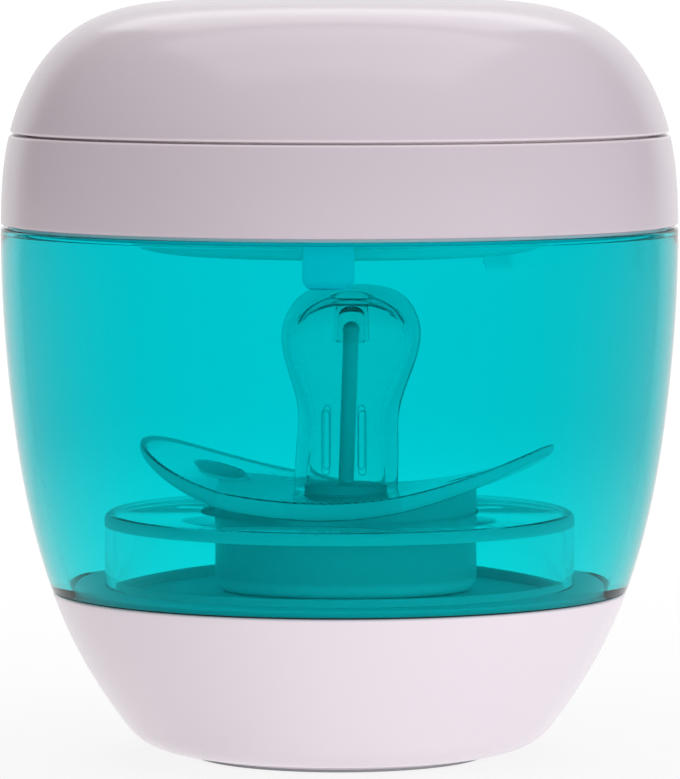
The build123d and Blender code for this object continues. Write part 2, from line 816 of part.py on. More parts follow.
def make_contact_springs():
    """Leaf springs: a flat root on the end wall and a bowed leaf that presses on the cell."""
    root = cell_back - spring_length - contact_thickness
    half = spring_width / 2
    flat = block((root, root + contact_thickness), (-half, half), (-half, half))
    start = root + contact_thickness
    inner_half = half - 2 * spring_strip
    outer = ThreePointArc((start, -half), (cell_back - spring_clearance, 0), (start, half))
    inner = ThreePointArc((start, inner_half), (cell_back - spring_clearance - spring_strip, 0),
                          (start, -inner_half))
    ends = [Line(outer @ 1, inner @ 0), Line(inner @ 1, outer @ 0)]
    bow = extrude(Plane.XZ * make_face([outer, inner] + ends), half, both=True)
    return Compound([spot * (flat + bow) for spot in cell_spots()])


# ---- dome and button -------------------------------------------------------------------
button_low = top_z + button_proud - button_cap


def make_lid_dome():
    dome = band(lid_inside, dome_bottom, top_z)
    dome += disc(skirt_out, dome_bottom - skirt_depth, dome_bottom + skirt_wall, skirt_in)
    hole = button_radius + button_clearance
    dome += disc(hole + button_tube_wall, button_low, top_z - lid_wall / 2)
    dome -= disc(hole, button_low - through, top_z + through)
    return dome - light_groove()


def light_groove():
    return disc(light_inner + light_width, top_z - light_depth, top_z + through, light_inner)


def make_status_light():
    return light_groove() & spin(egg)


def make_power_button():
    top = top_z + button_proud
    cap = disc(button_radius, button_low, top)
    cap = fillet(cap.edges().sort_by(Axis.Z)[-1], button_round)
    dish_radius = (button_radius - button_rim) ** 2 / (2 * button_dish)
    cap -= Pos(0, 0, top - button_dish + dish_radius) * Sphere(dish_radius)
    flange_top = button_low - button_seat_gap
    flange_low = flange_top - button_flange_thickness
    cap += disc(button_radius + button_clearance + button_flange, flange_low, flange_top)
    cap += disc(button_radius - button_neck, flange_low, button_low + weld)
    return cap + disc(button_stem_radius, switch_stem_top, flange_low + weld)


# ---- interlock -------------------------------------------------------------------------
interlock_spot = Rot(0, 0, interlock_angle) * Pos(interlock_circle, 0, 0)
pin_tip = floor_bottom - interlock_reach
collar_low = floor_top + interlock_travel + interlock_play
pin_top = collar_low + interlock_collar


def make_interlock_pin():
    pin = disc(interlock_pin_radius, pin_tip, pin_top)
    pin = fillet(pin.edges().sort_by(Axis.Z)[0], interlock_tip_round)
    return interlock_spot * (pin + disc(interlock_collar_radius, collar_low, pin_top))


def make_interlock_switch():
    half_x = interlock_switch_depth / 2
    half_y = interlock_switch_width / 2
    low = pin_top + interlock_play
    body = block((-half_x, half_x), (-half_y, half_y), (low, low + interlock_switch_height))
    for side in (-1, 1):
        middle = side * (half_y - interlock_leg / 2)
        sides = (middle - interlock_leg / 2, middle + interlock_leg / 2)
        leg = block((-half_x, half_x), sides, (floor_top, low + interlock_leg))
        body += leg
    return interlock_spot * body


# ---- write the parts -------------------------------------------------------------------
parts = {
    "base_shell": make_base_shell,
    "base_gasket": make_base_gasket,
    "base_deck": make_base_deck,
    "base_screws": make_base_screws,
    "foot_pad": make_foot_pad,
    "chamber": make_chamber,
    "hinge_pin": make_hinge_pin,
    "pacifier_stand": make_stand,
    "pacifier_shield": make_pacifier_shield,
    "pacifier_knob": make_pacifier_knob,
    "pacifier_nipple": make_pacifier_nipple,
    "pacifier_core": make_pacifier_core,
    "lid_ring": make_lid_ring,
    "lamp_window": make_lamp_window,
    "window_seal": make_window_seal,
    "lamp_reflector": make_lamp_reflector,
    "main_board": make_main_board,
    "uv_leds": make_uv_leds,
    "button_switch": make_button_switch,
    "switch_stem": make_switch_stem,
    "usb_socket": make_usb_socket,
    "lid_screws": make_lid_screws,
    "battery_holder": make_battery_holder,
    "contact_plates": make_contact_plates,
    "contact_springs": make_contact_springs,
    "lid_dome": make_lid_dome,
    "status_light": make_status_light,
    "power_button": make_power_button,
    "interlock_pin": make_interlock_pin,
    "interlock_switch": make_interlock_switch,
}

os.makedirs("parts", exist_ok=True)
for name, make in parts.items():
    export_step(make(), f"parts/{name}.step")
for number, spot in enumerate(cell_spots(), start=1):
    export_step(make_cell(spot), f"parts/aaa_cell_{number}.step")
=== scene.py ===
# %% [markdown]
# A case that sterilises a baby's pacifier with ultraviolet light. It is an egg of three bands: a white base, a
# clear turquoise chamber, and a white lid that holds the lamp and its cells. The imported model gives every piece
# its place, so each new piece here is made where the old one is and then stands for it.

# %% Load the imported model
from math import atan2, cos, pi, radians, sin, sqrt, tan

import bpy
import numpy as np
from mathutils import Matrix, Vector


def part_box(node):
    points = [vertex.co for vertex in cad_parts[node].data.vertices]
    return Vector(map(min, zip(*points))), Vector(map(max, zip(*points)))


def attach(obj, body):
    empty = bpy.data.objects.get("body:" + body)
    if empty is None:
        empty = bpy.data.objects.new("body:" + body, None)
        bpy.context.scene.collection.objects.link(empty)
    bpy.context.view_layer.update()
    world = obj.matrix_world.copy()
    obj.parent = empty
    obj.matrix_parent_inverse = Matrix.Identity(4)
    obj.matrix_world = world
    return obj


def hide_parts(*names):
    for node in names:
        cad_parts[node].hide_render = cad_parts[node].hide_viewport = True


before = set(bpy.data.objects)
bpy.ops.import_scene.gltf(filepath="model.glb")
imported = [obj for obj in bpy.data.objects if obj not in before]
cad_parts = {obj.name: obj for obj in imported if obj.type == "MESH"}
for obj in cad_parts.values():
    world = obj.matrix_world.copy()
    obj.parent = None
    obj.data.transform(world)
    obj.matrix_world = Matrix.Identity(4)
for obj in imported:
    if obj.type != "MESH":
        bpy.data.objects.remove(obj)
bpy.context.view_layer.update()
MM = 0.001
print("pieces in the model:", len(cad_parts))

# %% [markdown]
# The camera stands level with the top of the case and looks slightly down. A long lens keeps the sides of the
# egg nearly parallel, as a product shot does. Its focal length follows from the distance: at 0.69 m the case
# fills the frame from side to side, which takes a lens of about 330 mm on a 36 mm sensor.

# %% Camera
FRAME_WIDTH, FOCAL_LENGTH = 680, 6220    # both in pixels
LOOKS_DOWN = 4.14                        # degrees
camera_data = bpy.data.cameras.new("studio camera")
camera_data.sensor_fit = "HORIZONTAL"
camera_data.sensor_width = 36.0
camera_data.lens = camera_data.sensor_width * FOCAL_LENGTH / FRAME_WIDTH
camera = bpy.data.objects.new("studio camera", camera_data)
bpy.context.scene.collection.objects.link(camera)
camera.location = (0.00005, -0.688, 0.0904)
camera.rotation_euler = (radians(90 - LOOKS_DOWN), 0, 0)
bpy.context.scene.camera = camera
bpy.context.scene.view_settings.view_transform = "Standard"
print(f"lens {camera_data.lens:.1f} mm")

# %% [markdown]
# Shader maths reads best as a formula. This class wraps the output of a node, so that `1 - mask * 0.3` adds the
# Math nodes by itself. Every other kind of node comes from one method, which sets the node up first and then
# fills its inputs with numbers or links.

# %% A socket that can be used in a formula
class Wire:
    def __init__(self, tree, socket):
        self.tree = tree
        self.socket = socket

    def node(self, kind, settings={}, inputs={}, output=0):
        made = self.tree.nodes.new(kind)
        for name, value in settings.items():
            setattr(made, name, value)
        for name, value in inputs.items():
            if isinstance(value, Wire):
                self.tree.links.new(value.socket, made.inputs[name])
            else:
                made.inputs[name].default_value = value
        return Wire(self.tree, made.outputs[output])

    def math(self, operation, *values, clamp=False):
        return self.node("ShaderNodeMath", {"operation": operation, "use_clamp": clamp}, dict(enumerate(values)))

    def __add__(self, other):
        return self.math("ADD", self, other)

    def __sub__(self, other):
        return self.math("SUBTRACT", self, other)

    def __rsub__(self, other):
        return self.math("SUBTRACT", other, self)

    def __mul__(self, other):
        return self.math("MULTIPLY", self, other)

    def __abs__(self):
        return self.math("ABSOLUTE", self)

    __radd__ = __add__
    __rmul__ = __mul__

    def along(self, axis):
        """One of the three numbers of a place or a direction."""
        return self.node("ShaderNodeSeparateXYZ", {}, {"Vector": self}, axis)

    def length(self):
        return self.node("ShaderNodeVectorMath", {"operation": "LENGTH"}, {0: self}, "Value")

    def from_axis(self):
        """How far a place is from the upright line through the middle of the case."""
        return self.node("ShaderNodeVectorMath", {"operation": "MULTIPLY"}, {0: self, 1: (1, 1, 0)}).length()

    def ramp(self, start, end):
        """0 up to the value `start`, 1 from the value `end`, and a straight slope between them."""
        slope = 1 / (end - start)
        return self.math("MULTIPLY_ADD", self, slope, -start * slope, clamp=True)

    def noise(self, scale, detail=3.0, roughness=0.5):
        """A cloudy pattern from 0 to 1, with about `scale` clouds to the metre."""
        return self.node("ShaderNodeTexNoise", {}, {
            "Vector": self, "Scale": scale, "Detail": detail, "Roughness": roughness})

    def between(self, first, second):
        """A colour that goes from first to second as this value goes from 0 to 1."""
        first, second = [c if isinstance(c, Wire) else (*c, 1) for c in (first, second)]
        return self.node("ShaderNodeMix", {"data_type": "RGBA"}, {0: self, 6: first, 7: second}, 2)


# %% [markdown]
# A finish is a Principled shader. What is the same all over the surface is a plain number on the shader itself,
# and only what changes from place to place is linked. `place` is the point on the object, in metres, so that a
# pattern keeps its size on every piece and stays put when the piece moves. `facing` is where the surface looks.
# Three methods are for clear plastic: cut edges that are matt, plastic that is deeper where it is thick, and
# light from the lamps that goes through.

# %% A finish and what feeds it
class Finish:
    def __init__(self, name, slot=None, **constants):
        self.slot = slot or name
        self.material = bpy.data.materials.new("finish_" + name)
        self.material.use_nodes = True
        self.tree = self.material.node_tree
        self.shader = self.tree.nodes["Principled BSDF"]
        self.output = self.tree.nodes["Material Output"]
        self.surface = self.shader.outputs[0]
        for socket, value in constants.items():
            self.shader.inputs[socket.replace("_", " ")].default_value = value
        place = self.tree.nodes.new("ShaderNodeTexCoord")
        self.place = Wire(self.tree, place.outputs["Object"])
        self.facing = Wire(self.tree, place.outputs["Normal"])

    def feed(self, socket, wire):
        self.tree.links.new(wire.socket, self.shader.inputs[socket])

    def bump(self, height, depth, strength=1.0):
        """Raises the surface by `depth` metres where height is 1."""
        inputs = {"Height": height, "Distance": depth, "Strength": strength}
        self.feed("Normal", height.node("ShaderNodeBump", {}, inputs))

    def mix_in(self, factor, other):
        """Another shader shows in place of this one where factor is 1."""
        mix = self.tree.nodes.new("ShaderNodeMixShader")
        self.tree.links.new(factor.socket, mix.inputs[0])
        self.tree.links.new(self.surface, mix.inputs[1])
        self.tree.links.new(other.socket, mix.inputs[2])
        self.surface = mix.outputs[0]
        self.tree.links.new(self.surface, self.output.inputs["Surface"])

    def matt_edge(self, colour, low, share, reach=0.75):
        """Above the height `low`, faces that look sideways are matt. With a larger `reach`, so are sloping ones."""
        up, height = self.facing.along("Z"), self.place.along("Z")
        sideways = (up * up).ramp(reach, reach - 0.125)
        matt = up.node("ShaderNodeBsdfDiffuse", {}, {"Color": (*colour, 1), "Roughness": 0.5})
        self.mix_in(sideways * height.math("GREATER_THAN", height, low) * share, matt)

    def deepen(self, colour, density):
        """Light fades inside the plastic, so that thick places and edges are deeper than thin ones."""
        inside = self.place.node("ShaderNodeVolumeAbsorption", {}, {"Color": (*colour, 1), "Density": density})
        self.tree.links.new(inside.socket, self.output.inputs["Volume"])

    def let_light_in(self, colour):
        """Light on its way to a lamp goes straight through and takes this colour from the plastic."""
        light = self.place.node("ShaderNodeLightPath", output="Is Shadow Ray")
        self.mix_in(light, light.node("ShaderNodeBsdfTransparent", {}, {"Color": (*colour, 1)}))


# %% [markdown]
# The case stands on a plain white table in front of a white room. The camera finds both at full white, but for
# a faint shadow on the table near the foot, and so does whatever is seen through clear plastic. Gloss finds white
# near the foot and straight behind the case, and a dim table elsewhere. Other light finds a pale table, which is
# a light table: it gives a little light of its own and so brightens the case from below.

# %% Table
ROOM_LIGHT, GLOSS_LIGHT, TABLE_LIGHT = 0.42, 0.14, 0.46    # a light of strength 1 is white


def kinds_of_ray(wire):
    """1 for what the camera sees, for what is seen through clear plastic, and for what is seen in gloss."""
    camera_ray, clear_ray, glossy_ray = [wire.node("ShaderNodeLightPath", output=kind)
                                         for kind in ("Is Camera Ray", "Is Transmission Ray", "Is Glossy Ray")]
    return camera_ray, clear_ray, glossy_ray * (1 - clear_ray)


def lit_wall(towards_back):
    """1 within 36 degrees of straight behind the case and 0 from 47 degrees, with a soft border."""
    return towards_back.ramp(0.6776, 0.8092)


def white_table(colour):
    finish = Finish("white_table", Base_Color=(*colour, 1), Roughness=0.9)
    cloud = finish.place.noise(9.0, 2.0)
    finish.feed("Base Color", cloud.between(colour, [c * 0.985 for c in colour]))
    distance, back = finish.place.length(), finish.place.along("Y")
    near, far = distance.ramp(0.22, 0.12), distance.ramp(0, 1 / 3)
    in_gloss = near.math("MAXIMUM", near, lit_wall(back.math("DIVIDE", back, distance)) * 0.8 + GLOSS_LIGHT)
    seen, through, gloss = kinds_of_ray(finish.place)
    own_light = (1 - seen) * (1 - through) * (1 - gloss) * TABLE_LIGHT
    glow = finish.place.node("ShaderNodeEmission", {}, {"Color": (1, 1, 1, 1), "Strength": 1.03})
    finish.mix_in(seen * (0.78 + far * 0.22) + through + gloss * in_gloss + own_light, glow)
    return finish.material


bpy.ops.object.select_all(action="DESELECT")
bpy.ops.mesh.primitive_plane_add(size=30.0, location=(0, 0, -0.00002))
table = bpy.context.object
table.name = "table"
table.data.materials.append(white_table((0.86, 0.85, 0.86)))
print("table", [round(side, 1) for side in table.dimensions])

# %% [markdown]
# The light of a product studio: a wide soft box overhead, a low one in front and one to the right that brighten
# the underside of the egg, and one behind that draws the edge of the lid. Soft boxes are area lamps. The white
# room itself gives much of the light, from all round, which keeps the shadows soft. The two low boxes stay out of
# the gloss, where they would be hard bright patches. What the gloss shows is the lit wall behind the case, the
# lit ceiling, and a dim studio elsewhere, so that only the last few millimetres of each side shine white. The
# left of the room is a little darker and warmer, which gives the round form a side in shade.

# %% Lamps and room
def soft_box(name, place, target, size, power, in_gloss=False):
    lamp_data = bpy.data.lights.new(name, "AREA")
    lamp_data.shape = "RECTANGLE"
    lamp_data.size, lamp_data.size_y = size
    lamp_data.energy = power
    lamp = bpy.data.objects.new(name, lamp_data)
    bpy.context.scene.collection.objects.link(lamp)
    lamp.visible_glossy = lamp.visible_transmission = in_gloss
    lamp.location = place
    lamp.rotation_euler = (Vector(target) - Vector(place)).to_track_quat("-Z", "Y").to_euler()


middle = (0, 0, 0.045)
soft_box("overhead soft box", (0.0, 0.0, 0.75), middle, (0.9, 0.7), 2.5, True)
soft_box("right soft box", (0.60, -0.50, 0.08), middle, (0.5, 0.16), 1.5)
soft_box("low front soft box", (0.0, -0.75, 0.06), middle, (0.9, 0.12), 1.1)
soft_box("high back soft box", (0.0, 0.60, 0.60), middle, (0.6, 0.4), 0.9, True)

room = bpy.data.worlds.new("white room")
room.use_nodes = True
bpy.context.scene.world = room
backdrop = room.node_tree.nodes["Background"]
backdrop.inputs["Color"].default_value = (1, 1, 1, 1)
direction = Wire(room.node_tree, None).node("ShaderNodeTexCoord", output="Generated")
seen, through, gloss = kinds_of_ray(direction)
lit_ceiling = direction.along("Z").ramp(0.318, 0.773)
lit_parts = lit_ceiling.math("MAXIMUM", lit_ceiling, lit_wall(direction.along("Y")))
in_gloss = GLOSS_LIGHT + lit_parts * (1 - GLOSS_LIGHT)
plain = (1 - seen) * (1 - through) * (1 - gloss)
warm_side = plain * direction.along("X").ramp(-0.143, -0.857)
strength = seen + through + gloss * in_gloss + (plain - warm_side * 0.25) * ROOM_LIGHT
room.node_tree.links.new(warm_side.between((1, 1, 1), (1, 0.9, 0.8)).socket, backdrop.inputs["Color"])
room.node_tree.links.new(strength.socket, backdrop.inputs["Strength"])

# %% [markdown]
# The white parts are polished ABS, a hard plastic with a faint lilac warmth. It is never a perfect mirror: the
# mould leaves a very shallow waviness, handling leaves faint rubs, and the colour drifts a little with the flow
# of the melt. Three noises of different sizes give these, one for colour, one for roughness and one for bump.
# The lid is painted paler within half a millimetre of its seam: a painted highlight, where the rounded edges
# catch the light. The deck is painted darker under the pacifier's stand and darkest at its rim: painted shade,
# where the stand and the chamber's foot shade it.

# %% White polished plastic
def moulded(name, colour, roughness, wave=0.00001, drift=0.03, **constants):
    finish = Finish(name, IOR=1.43, **constants)
    flow = finish.place.noise(45.0, 2.0)
    deep = [c * (1 - drift) for c in colour]
    finish.colour = flow.between(colour, deep)
    finish.feed("Base Color", finish.colour)
    rubs = finish.place.noise(700.0, 4.0, 0.7)
    finish.feed("Roughness", roughness * 0.8 + rubs * roughness * 0.4)
    finish.bump(finish.place.noise(260.0, 2.0), wave, 0.6)
    return finish


white = moulded("white_shell", (0.625, 0.548, 0.613), 0.22, Coat_Weight=0.08, Coat_Roughness=0.06)
LID_SEAM_MIDDLE = 69.06    # millimetres above the table, as all the heights here
above_seam = white.place.along("Z") - LID_SEAM_MIDDLE * MM
# painted highlight: the white is painted paler within half a millimetre of the lid's seam
painted_seam_highlight = abs(above_seam).ramp(0.46 * MM, 0.06 * MM)
white.feed("Base Color", (painted_seam_highlight * 0.85).between(white.colour, (0.95, 0.86, 0.90)))
# painted light: the base and the lid's tongue use a lighter copy of the same white plastic, for the light that the
# table throws up onto the base and that reaches the tongue through the chamber
painted_lighter_white = moulded("painted_lighter_white", (0.85, 0.762, 0.832), 0.25, slot="white_shell", Coat_Weight=0.08,
                     Coat_Roughness=0.06)
holder_white = moulded("holder_plastic", (0.78, 0.74, 0.77), 0.42)
black = moulded("black_plastic", (0.020, 0.020, 0.021), 0.38)
core_plastic = moulded("pacifier_core", (0.60, 0.64, 0.65), 0.40)
grey = moulded("grey_deck", (0.44, 0.46, 0.47), 0.6, wave=0.00003, Specular_IOR_Level=0.2)
from_axis = grey.place.from_axis()
# painted shade: the deck is darker under the stand and darkest at its rim, where the stand and the chamber's foot
# shade it
painted_shade_under_stand = from_axis.math("LESS_THAN", from_axis, 25.6 * MM)
painted_rim_shade = from_axis.ramp(29.3 * MM, 29.8 * MM)
grey.feed("Base Color", (painted_shade_under_stand * 0.38 + painted_rim_shade).between((0.81, 0.85, 0.87), (0.27, 0.32, 0.34)))

# %% [markdown]
# Clear plastic is modelled with real walls, front face and back face, so its edges bend the view as the real
# ones do. The shader lets light from the lamps pass straight through with the tint of the plastic. Without that,
# a render would find the light inside the case only by luck, and the inside would be dark and grainy. Clear
# pieces would hardly show against white, so their sides are partly matt and their thick places a little grey, as
# moulded ones are. The knob is milky, and its lower edge is painted paler: painted light against the shade under
# its rounded foot. The soft nipple has two slots for air in its neck, drawn as fine oblong outlines: a line runs
# where the distance from a short upright stroke is just right.

# %% Clear plastics
def clear(name, colour, shade, roughness=0.02, ior=1.49, wave=0.000004, milk=0.0, **constants):
    finish = Finish(name, IOR=ior, Transmission_Weight=1.0 - milk, **constants)
    flow = finish.place.noise(30.0, 2.0)
    finish.feed("Base Color", flow.between(colour, [c * 0.985 for c in colour]))
    finish.feed("Roughness", roughness * 0.7 + finish.place.noise(500.0, 3.0, 0.6) * roughness * 0.6)
    finish.bump(finish.place.noise(180.0, 2.0), wave, 0.5)
    finish.let_light_in(shade)
    return finish


clear_plastic = clear("clear_plastic", (0.97, 0.99, 0.99), (0.97, 0.99, 0.99), ior=1.22)
clear_plastic.deepen((0.5, 0.5, 0.5), 14.0)
clear_plastic.matt_edge((0.62, 0.65, 0.66), 0.0258, 0.85)
lamp_clear = clear("lamp_clear", (0.95, 0.98, 0.98), (0.96, 0.98, 0.98), ior=1.22)
lamp_clear.matt_edge((0.92, 0.96, 0.96), 0.0, 0.8, 0.97)
pacifier_clear = clear("pacifier_clear", (0.95, 0.97, 0.97), (0.95, 0.98, 0.98), 0.08, 1.20, milk=0.05)
pacifier_clear.deepen((0.5, 0.55, 0.56), 30.0)
pacifier_clear.matt_edge((0.68, 0.71, 0.72), 0.0, 0.9)
knob_plastic = clear("pacifier_knob_grey", (0.54, 0.57, 0.58), (0.85, 0.88, 0.88), 0.35, 1.4, milk=0.9,
                     slot="pacifier_clear")
# painted light: the knob's lower edge is painted paler, against the shade under its rounded foot
painted_light_low_edge = knob_plastic.place.along("Z").ramp(20.82 * MM, 19.65 * MM)
knob_plastic.feed("Base Color", painted_light_low_edge.between((0.54, 0.57, 0.58), (0.92, 0.95, 0.97)))
silicone = clear("silicone", (0.95, 0.97, 0.96), (0.97, 0.98, 0.98), 0.04, 1.10, 0.000002)
silicone.deepen((0.5, 0.56, 0.57), 85.0)
SLOT_ASIDE, SLOT_MIDDLE, SLOT_HALF, SLOT_RADIUS = 2.0, 35.05, 3.15, 0.40
across = abs(silicone.place.along("X") - 0.5 * MM) - SLOT_ASIDE * MM
past_ends = abs(silicone.place.along("Z") - SLOT_MIDDLE * MM) - SLOT_HALF * MM
past_ends = past_ends.math("MAXIMUM", past_ends, 0.0)
from_slot = across.math("SQRT", across * across + past_ends * past_ends)
slot_line = from_slot.math("COMPARE", from_slot, SLOT_RADIUS * MM, 0.06 * MM)
silicone.feed("Base Color", slot_line.between((0.95, 0.97, 0.96), (0.55, 0.60, 0.60)))
light_guide = clear("light_ring", (0.80, 0.92, 0.95), (0.95, 0.98, 0.98), 0.35)

# %% [markdown]
# The chamber's turquoise lets almost no red through. Two things make the tint look like dyed plastic and not
# like a painted sheet. Its front reflection is tinted as well, and the plastic itself absorbs a little light on
# its way, so that the edges, where the view runs far inside the wall, are deeper than the middle. Towards the
# foot the tint is painted paler: painted light from the bright table below.

# %% Turquoise window plastic
teal = clear("teal_clear", (0.002, 0.77, 0.82), (0.60, 0.99, 0.99), ior=1.22,
             Specular_Tint=(0.0, 0.6, 0.65, 1))
# painted light: the turquoise is painted paler towards the foot, for the light from the bright table below
painted_light_to_foot = teal.place.along("Z").ramp(36 * MM, 20 * MM)
teal.feed("Base Color", painted_light_to_foot.between((0.002, 0.86, 0.895), (0.085, 0.99, 1.0)))
teal.deepen((0.6, 0.90, 0.905), 750.0)

# %% [markdown]
# The small inner pieces are rubber, plated steel, a mirror-coated reflector and a green circuit board. Rubber
# scatters light and shows a fine grain. Metal has no colour of its own but that of its reflections, so its
# interest lies in fine brushing: a noise stretched along one direction. The board shows its glass weave, and
# the edges of a cell pattern stand for its tracks.

# %% Rubber, metal and board
def rubber(name, colour, roughness=0.65):
    finish = Finish(name, IOR=1.45)
    grain = finish.place.noise(2600.0, 2.0)
    finish.feed("Base Color", grain.between(colour, [c * 0.85 for c in colour]))
    finish.feed("Roughness", roughness + grain * 0.15)
    finish.bump(grain, 0.00002, 0.8)
    return finish


def metal(name, colour, roughness=0.22, brushing=(60.0, 60.0, 4000.0)):
    finish = Finish(name, Metallic=1.0)
    stretched = finish.place.node("ShaderNodeMapping", {}, {"Vector": finish.place, "Scale": brushing})
    lines = stretched.noise(1.0, 3.0)
    finish.feed("Base Color", lines.between(colour, [c * 0.90 for c in colour]))
    finish.feed("Roughness", roughness * 0.7 + lines * roughness * 0.6)
    finish.bump(lines, 0.000004, 0.5)
    return finish


DARK_RUBBER = (0.012, 0.020, 0.022)
gasket_rubber = rubber("dark_gasket", DARK_RUBBER)
foot_rubber = rubber("foot_rubber", (0.30, 0.30, 0.32))
steel = metal("steel", (0.60, 0.60, 0.62))
plated = metal("plated_steel", (0.72, 0.71, 0.68), 0.16)
mirror = metal("reflector", (0.86, 0.87, 0.88), 0.08, (200.0, 200.0, 200.0))


def circuit_board():
    finish = Finish("circuit_board", IOR=1.5, Coat_Weight=0.5, Coat_Roughness=0.15)
    weave = finish.place.node("ShaderNodeTexWave", {"bands_direction": "X"},
                              {"Vector": finish.place, "Scale": 500.0, "Distortion": 0.6})
    patches = finish.place.node("ShaderNodeTexVoronoi", {"feature": "DISTANCE_TO_EDGE"},
                                {"Vector": finish.place, "Scale": 260.0})
    tracks = patches.math("LESS_THAN", patches, 0.10)
    mask = tracks * 0.8 + weave * 0.2
    finish.feed("Base Color", mask.between((0.010, 0.085, 0.030), (0.020, 0.160, 0.055)))
    finish.feed("Roughness", 0.35 + weave * 0.15)
    finish.bump(tracks, 0.00003, 0.6)
    return finish


board_green = circuit_board()
led_ceramic = moulded("led_package", (0.78, 0.76, 0.70), 0.35)
print("finishes:", len(bpy.data.materials))

# %% [markdown]
# The outline of the egg is a soft line through a few named levels, as a draughtsman draws it with a spline. The
# same levels shape the solid model, so a new shell lies exactly on the old one. Between two levels the line is a
# cubic whose bend runs on smoothly from one piece to the next, which takes one small set of equations to find.
# From here on, lengths are in millimetres until a piece is made.

# %% The egg's outline
BASE_BOTTOM, BASE_TOP, RIM, LID_SEAM, TOP = 0.3, 18.4, 58.7, 69.0, 84.6
BELLY = 37.441
CROWN_RADIUS, CROWN_EDGE = 187.0, BELLY - 17.15
CROWN_CENTRE = TOP - CROWN_RADIUS
CROWN_EDGE_Z = CROWN_CENTRE + sqrt(CROWN_RADIUS**2 - CROWN_EDGE**2)
FOOT_ROUND = 6.6


def soft_line(points, first, last, steps):
    """Places along a spline through points, with its unit directions, from `first` to `last` direction."""
    points = np.array(points, float)
    spans = np.linalg.norm(np.diff(points, axis=0), axis=1)
    count = len(points)
    equations, known = np.eye(count), np.zeros((count, 2))
    known[0] = np.array(first) / np.linalg.norm(first)
    known[-1] = np.array(last) / np.linalg.norm(last)
    for i in range(1, count - 1):
        before, after = spans[i - 1], spans[i]
        equations[i, i - 1:i + 2] = after, 2 * (before + after), before
        known[i] = 3 * (after * (points[i] - points[i - 1]) / before + before * (points[i + 1] - points[i]) / after)
    slopes = np.linalg.solve(equations, known)
    places, ways = [], []
    for i in range(count - 1):
        for t in np.linspace(0, 1, steps, endpoint=i == count - 2):
            a, b, span = points[i], points[i + 1], spans[i]
            m, n = slopes[i] * span, slopes[i + 1] * span
            place = (a * (2*t**3 - 3*t**2 + 1) + m * (t**3 - 2*t**2 + t)
                     + b * (3*t**2 - 2*t**3) + n * (t**3 - t**2))
            way = (a * (6*t**2 - 6*t) + m * (3*t**2 - 4*t + 1)
                   + b * (6*t - 6*t**2) + n * (3*t**2 - 2*t))
            places.append(place)
            ways.append(way / np.linalg.norm(way))
    return np.array(places), np.array(ways)


BASE_TALL, CHAMBER_TALL, DOME_TALL = BASE_TOP - BASE_BOTTOM, RIM - BASE_TOP, TOP - LID_SEAM
levels = [    # how far inside the belly, and how high
    (16.25, BASE_BOTTOM), (9.35, BASE_BOTTOM + 0.54 * BASE_TALL), (5.55, BASE_TOP),
    (0.95, BASE_TOP + 0.55 * CHAMBER_TALL), (0.0, RIM + 0.8), (0.95, LID_SEAM),
    (3.15, LID_SEAM + 0.37 * DOME_TALL), (6.95, LID_SEAM + 0.68 * DOME_TALL),
    (11.15, LID_SEAM + 0.84 * DOME_TALL), (17.15, CROWN_EDGE_Z)]
side, side_ways = soft_line([(BELLY - inset, z) for inset, z in levels], (0.62, 0.78),
                            (CROWN_CENTRE - CROWN_EDGE_Z, CROWN_EDGE), 12)
side_in = np.column_stack((-side_ways[:, 1], side_ways[:, 0]))


def egg(inset=0.0):
    """The whole outline from the foot to the axis at the top, moved in by inset, as (radius, height) points."""
    moved = side + side_in * inset
    foot_line = side + side_in * FOOT_ROUND
    start = int(np.argmax(foot_line[:, 1] > BASE_BOTTOM + FOOT_ROUND))
    centre = foot_line[start]
    angle = atan2(-side_in[start, 1], -side_in[start, 0])
    turn = np.linspace(-pi / 2, angle, 14)[:-1]
    foot = centre + (FOOT_ROUND - inset) * np.column_stack((np.cos(turn), np.sin(turn)))
    radius = CROWN_RADIUS - inset
    lean = atan2(moved[-1, 0], moved[-1, 1] - CROWN_CENTRE)
    arc = np.linspace(lean, 0, 16)[1:]
    crown = np.column_stack((radius * np.sin(arc), CROWN_CENTRE + radius * np.cos(arc)))
    return np.vstack((foot, moved[start:], crown))


def radius_at(inset, z):
    """The egg's radius at a height, below the crown."""
    line = egg(inset)
    low = int(np.argmax(line[:, 1] >= z))
    a, b = line[low - 1], line[low]
    return float(a[0] + (b[0] - a[0]) * (z - a[1]) / (b[1] - a[1]))


def crown_z(inset, radius):
    return CROWN_CENTRE + sqrt((CROWN_RADIUS - inset) ** 2 - radius**2)


def wall(inset, low, high):
    """The part of the outline between two heights, its end points included, from the bottom up."""
    line = egg(inset)
    inner = [tuple(p) for p in line if low + 0.12 < p[1] < high - 0.12]
    return [(radius_at(inset, low), low)] + inner + [(radius_at(inset, high), high)]


print(f"egg: foot {side[0, 0]:.1f}, belly {side[:, 0].max():.2f}, lid seam {radius_at(0, LID_SEAM):.2f} mm")

# %% [markdown]
# Nearly everything in an egg is round, so most pieces are turned, as on a lathe. The outline of the wall is a
# closed loop beside the axis. It starts as a primitive circle with as many points as the outline, each point is
# put in its place, and Spin carries it once round. A corner with a third number gets that radius, because a
# moulded edge is never sharp and the small round is what catches the light.

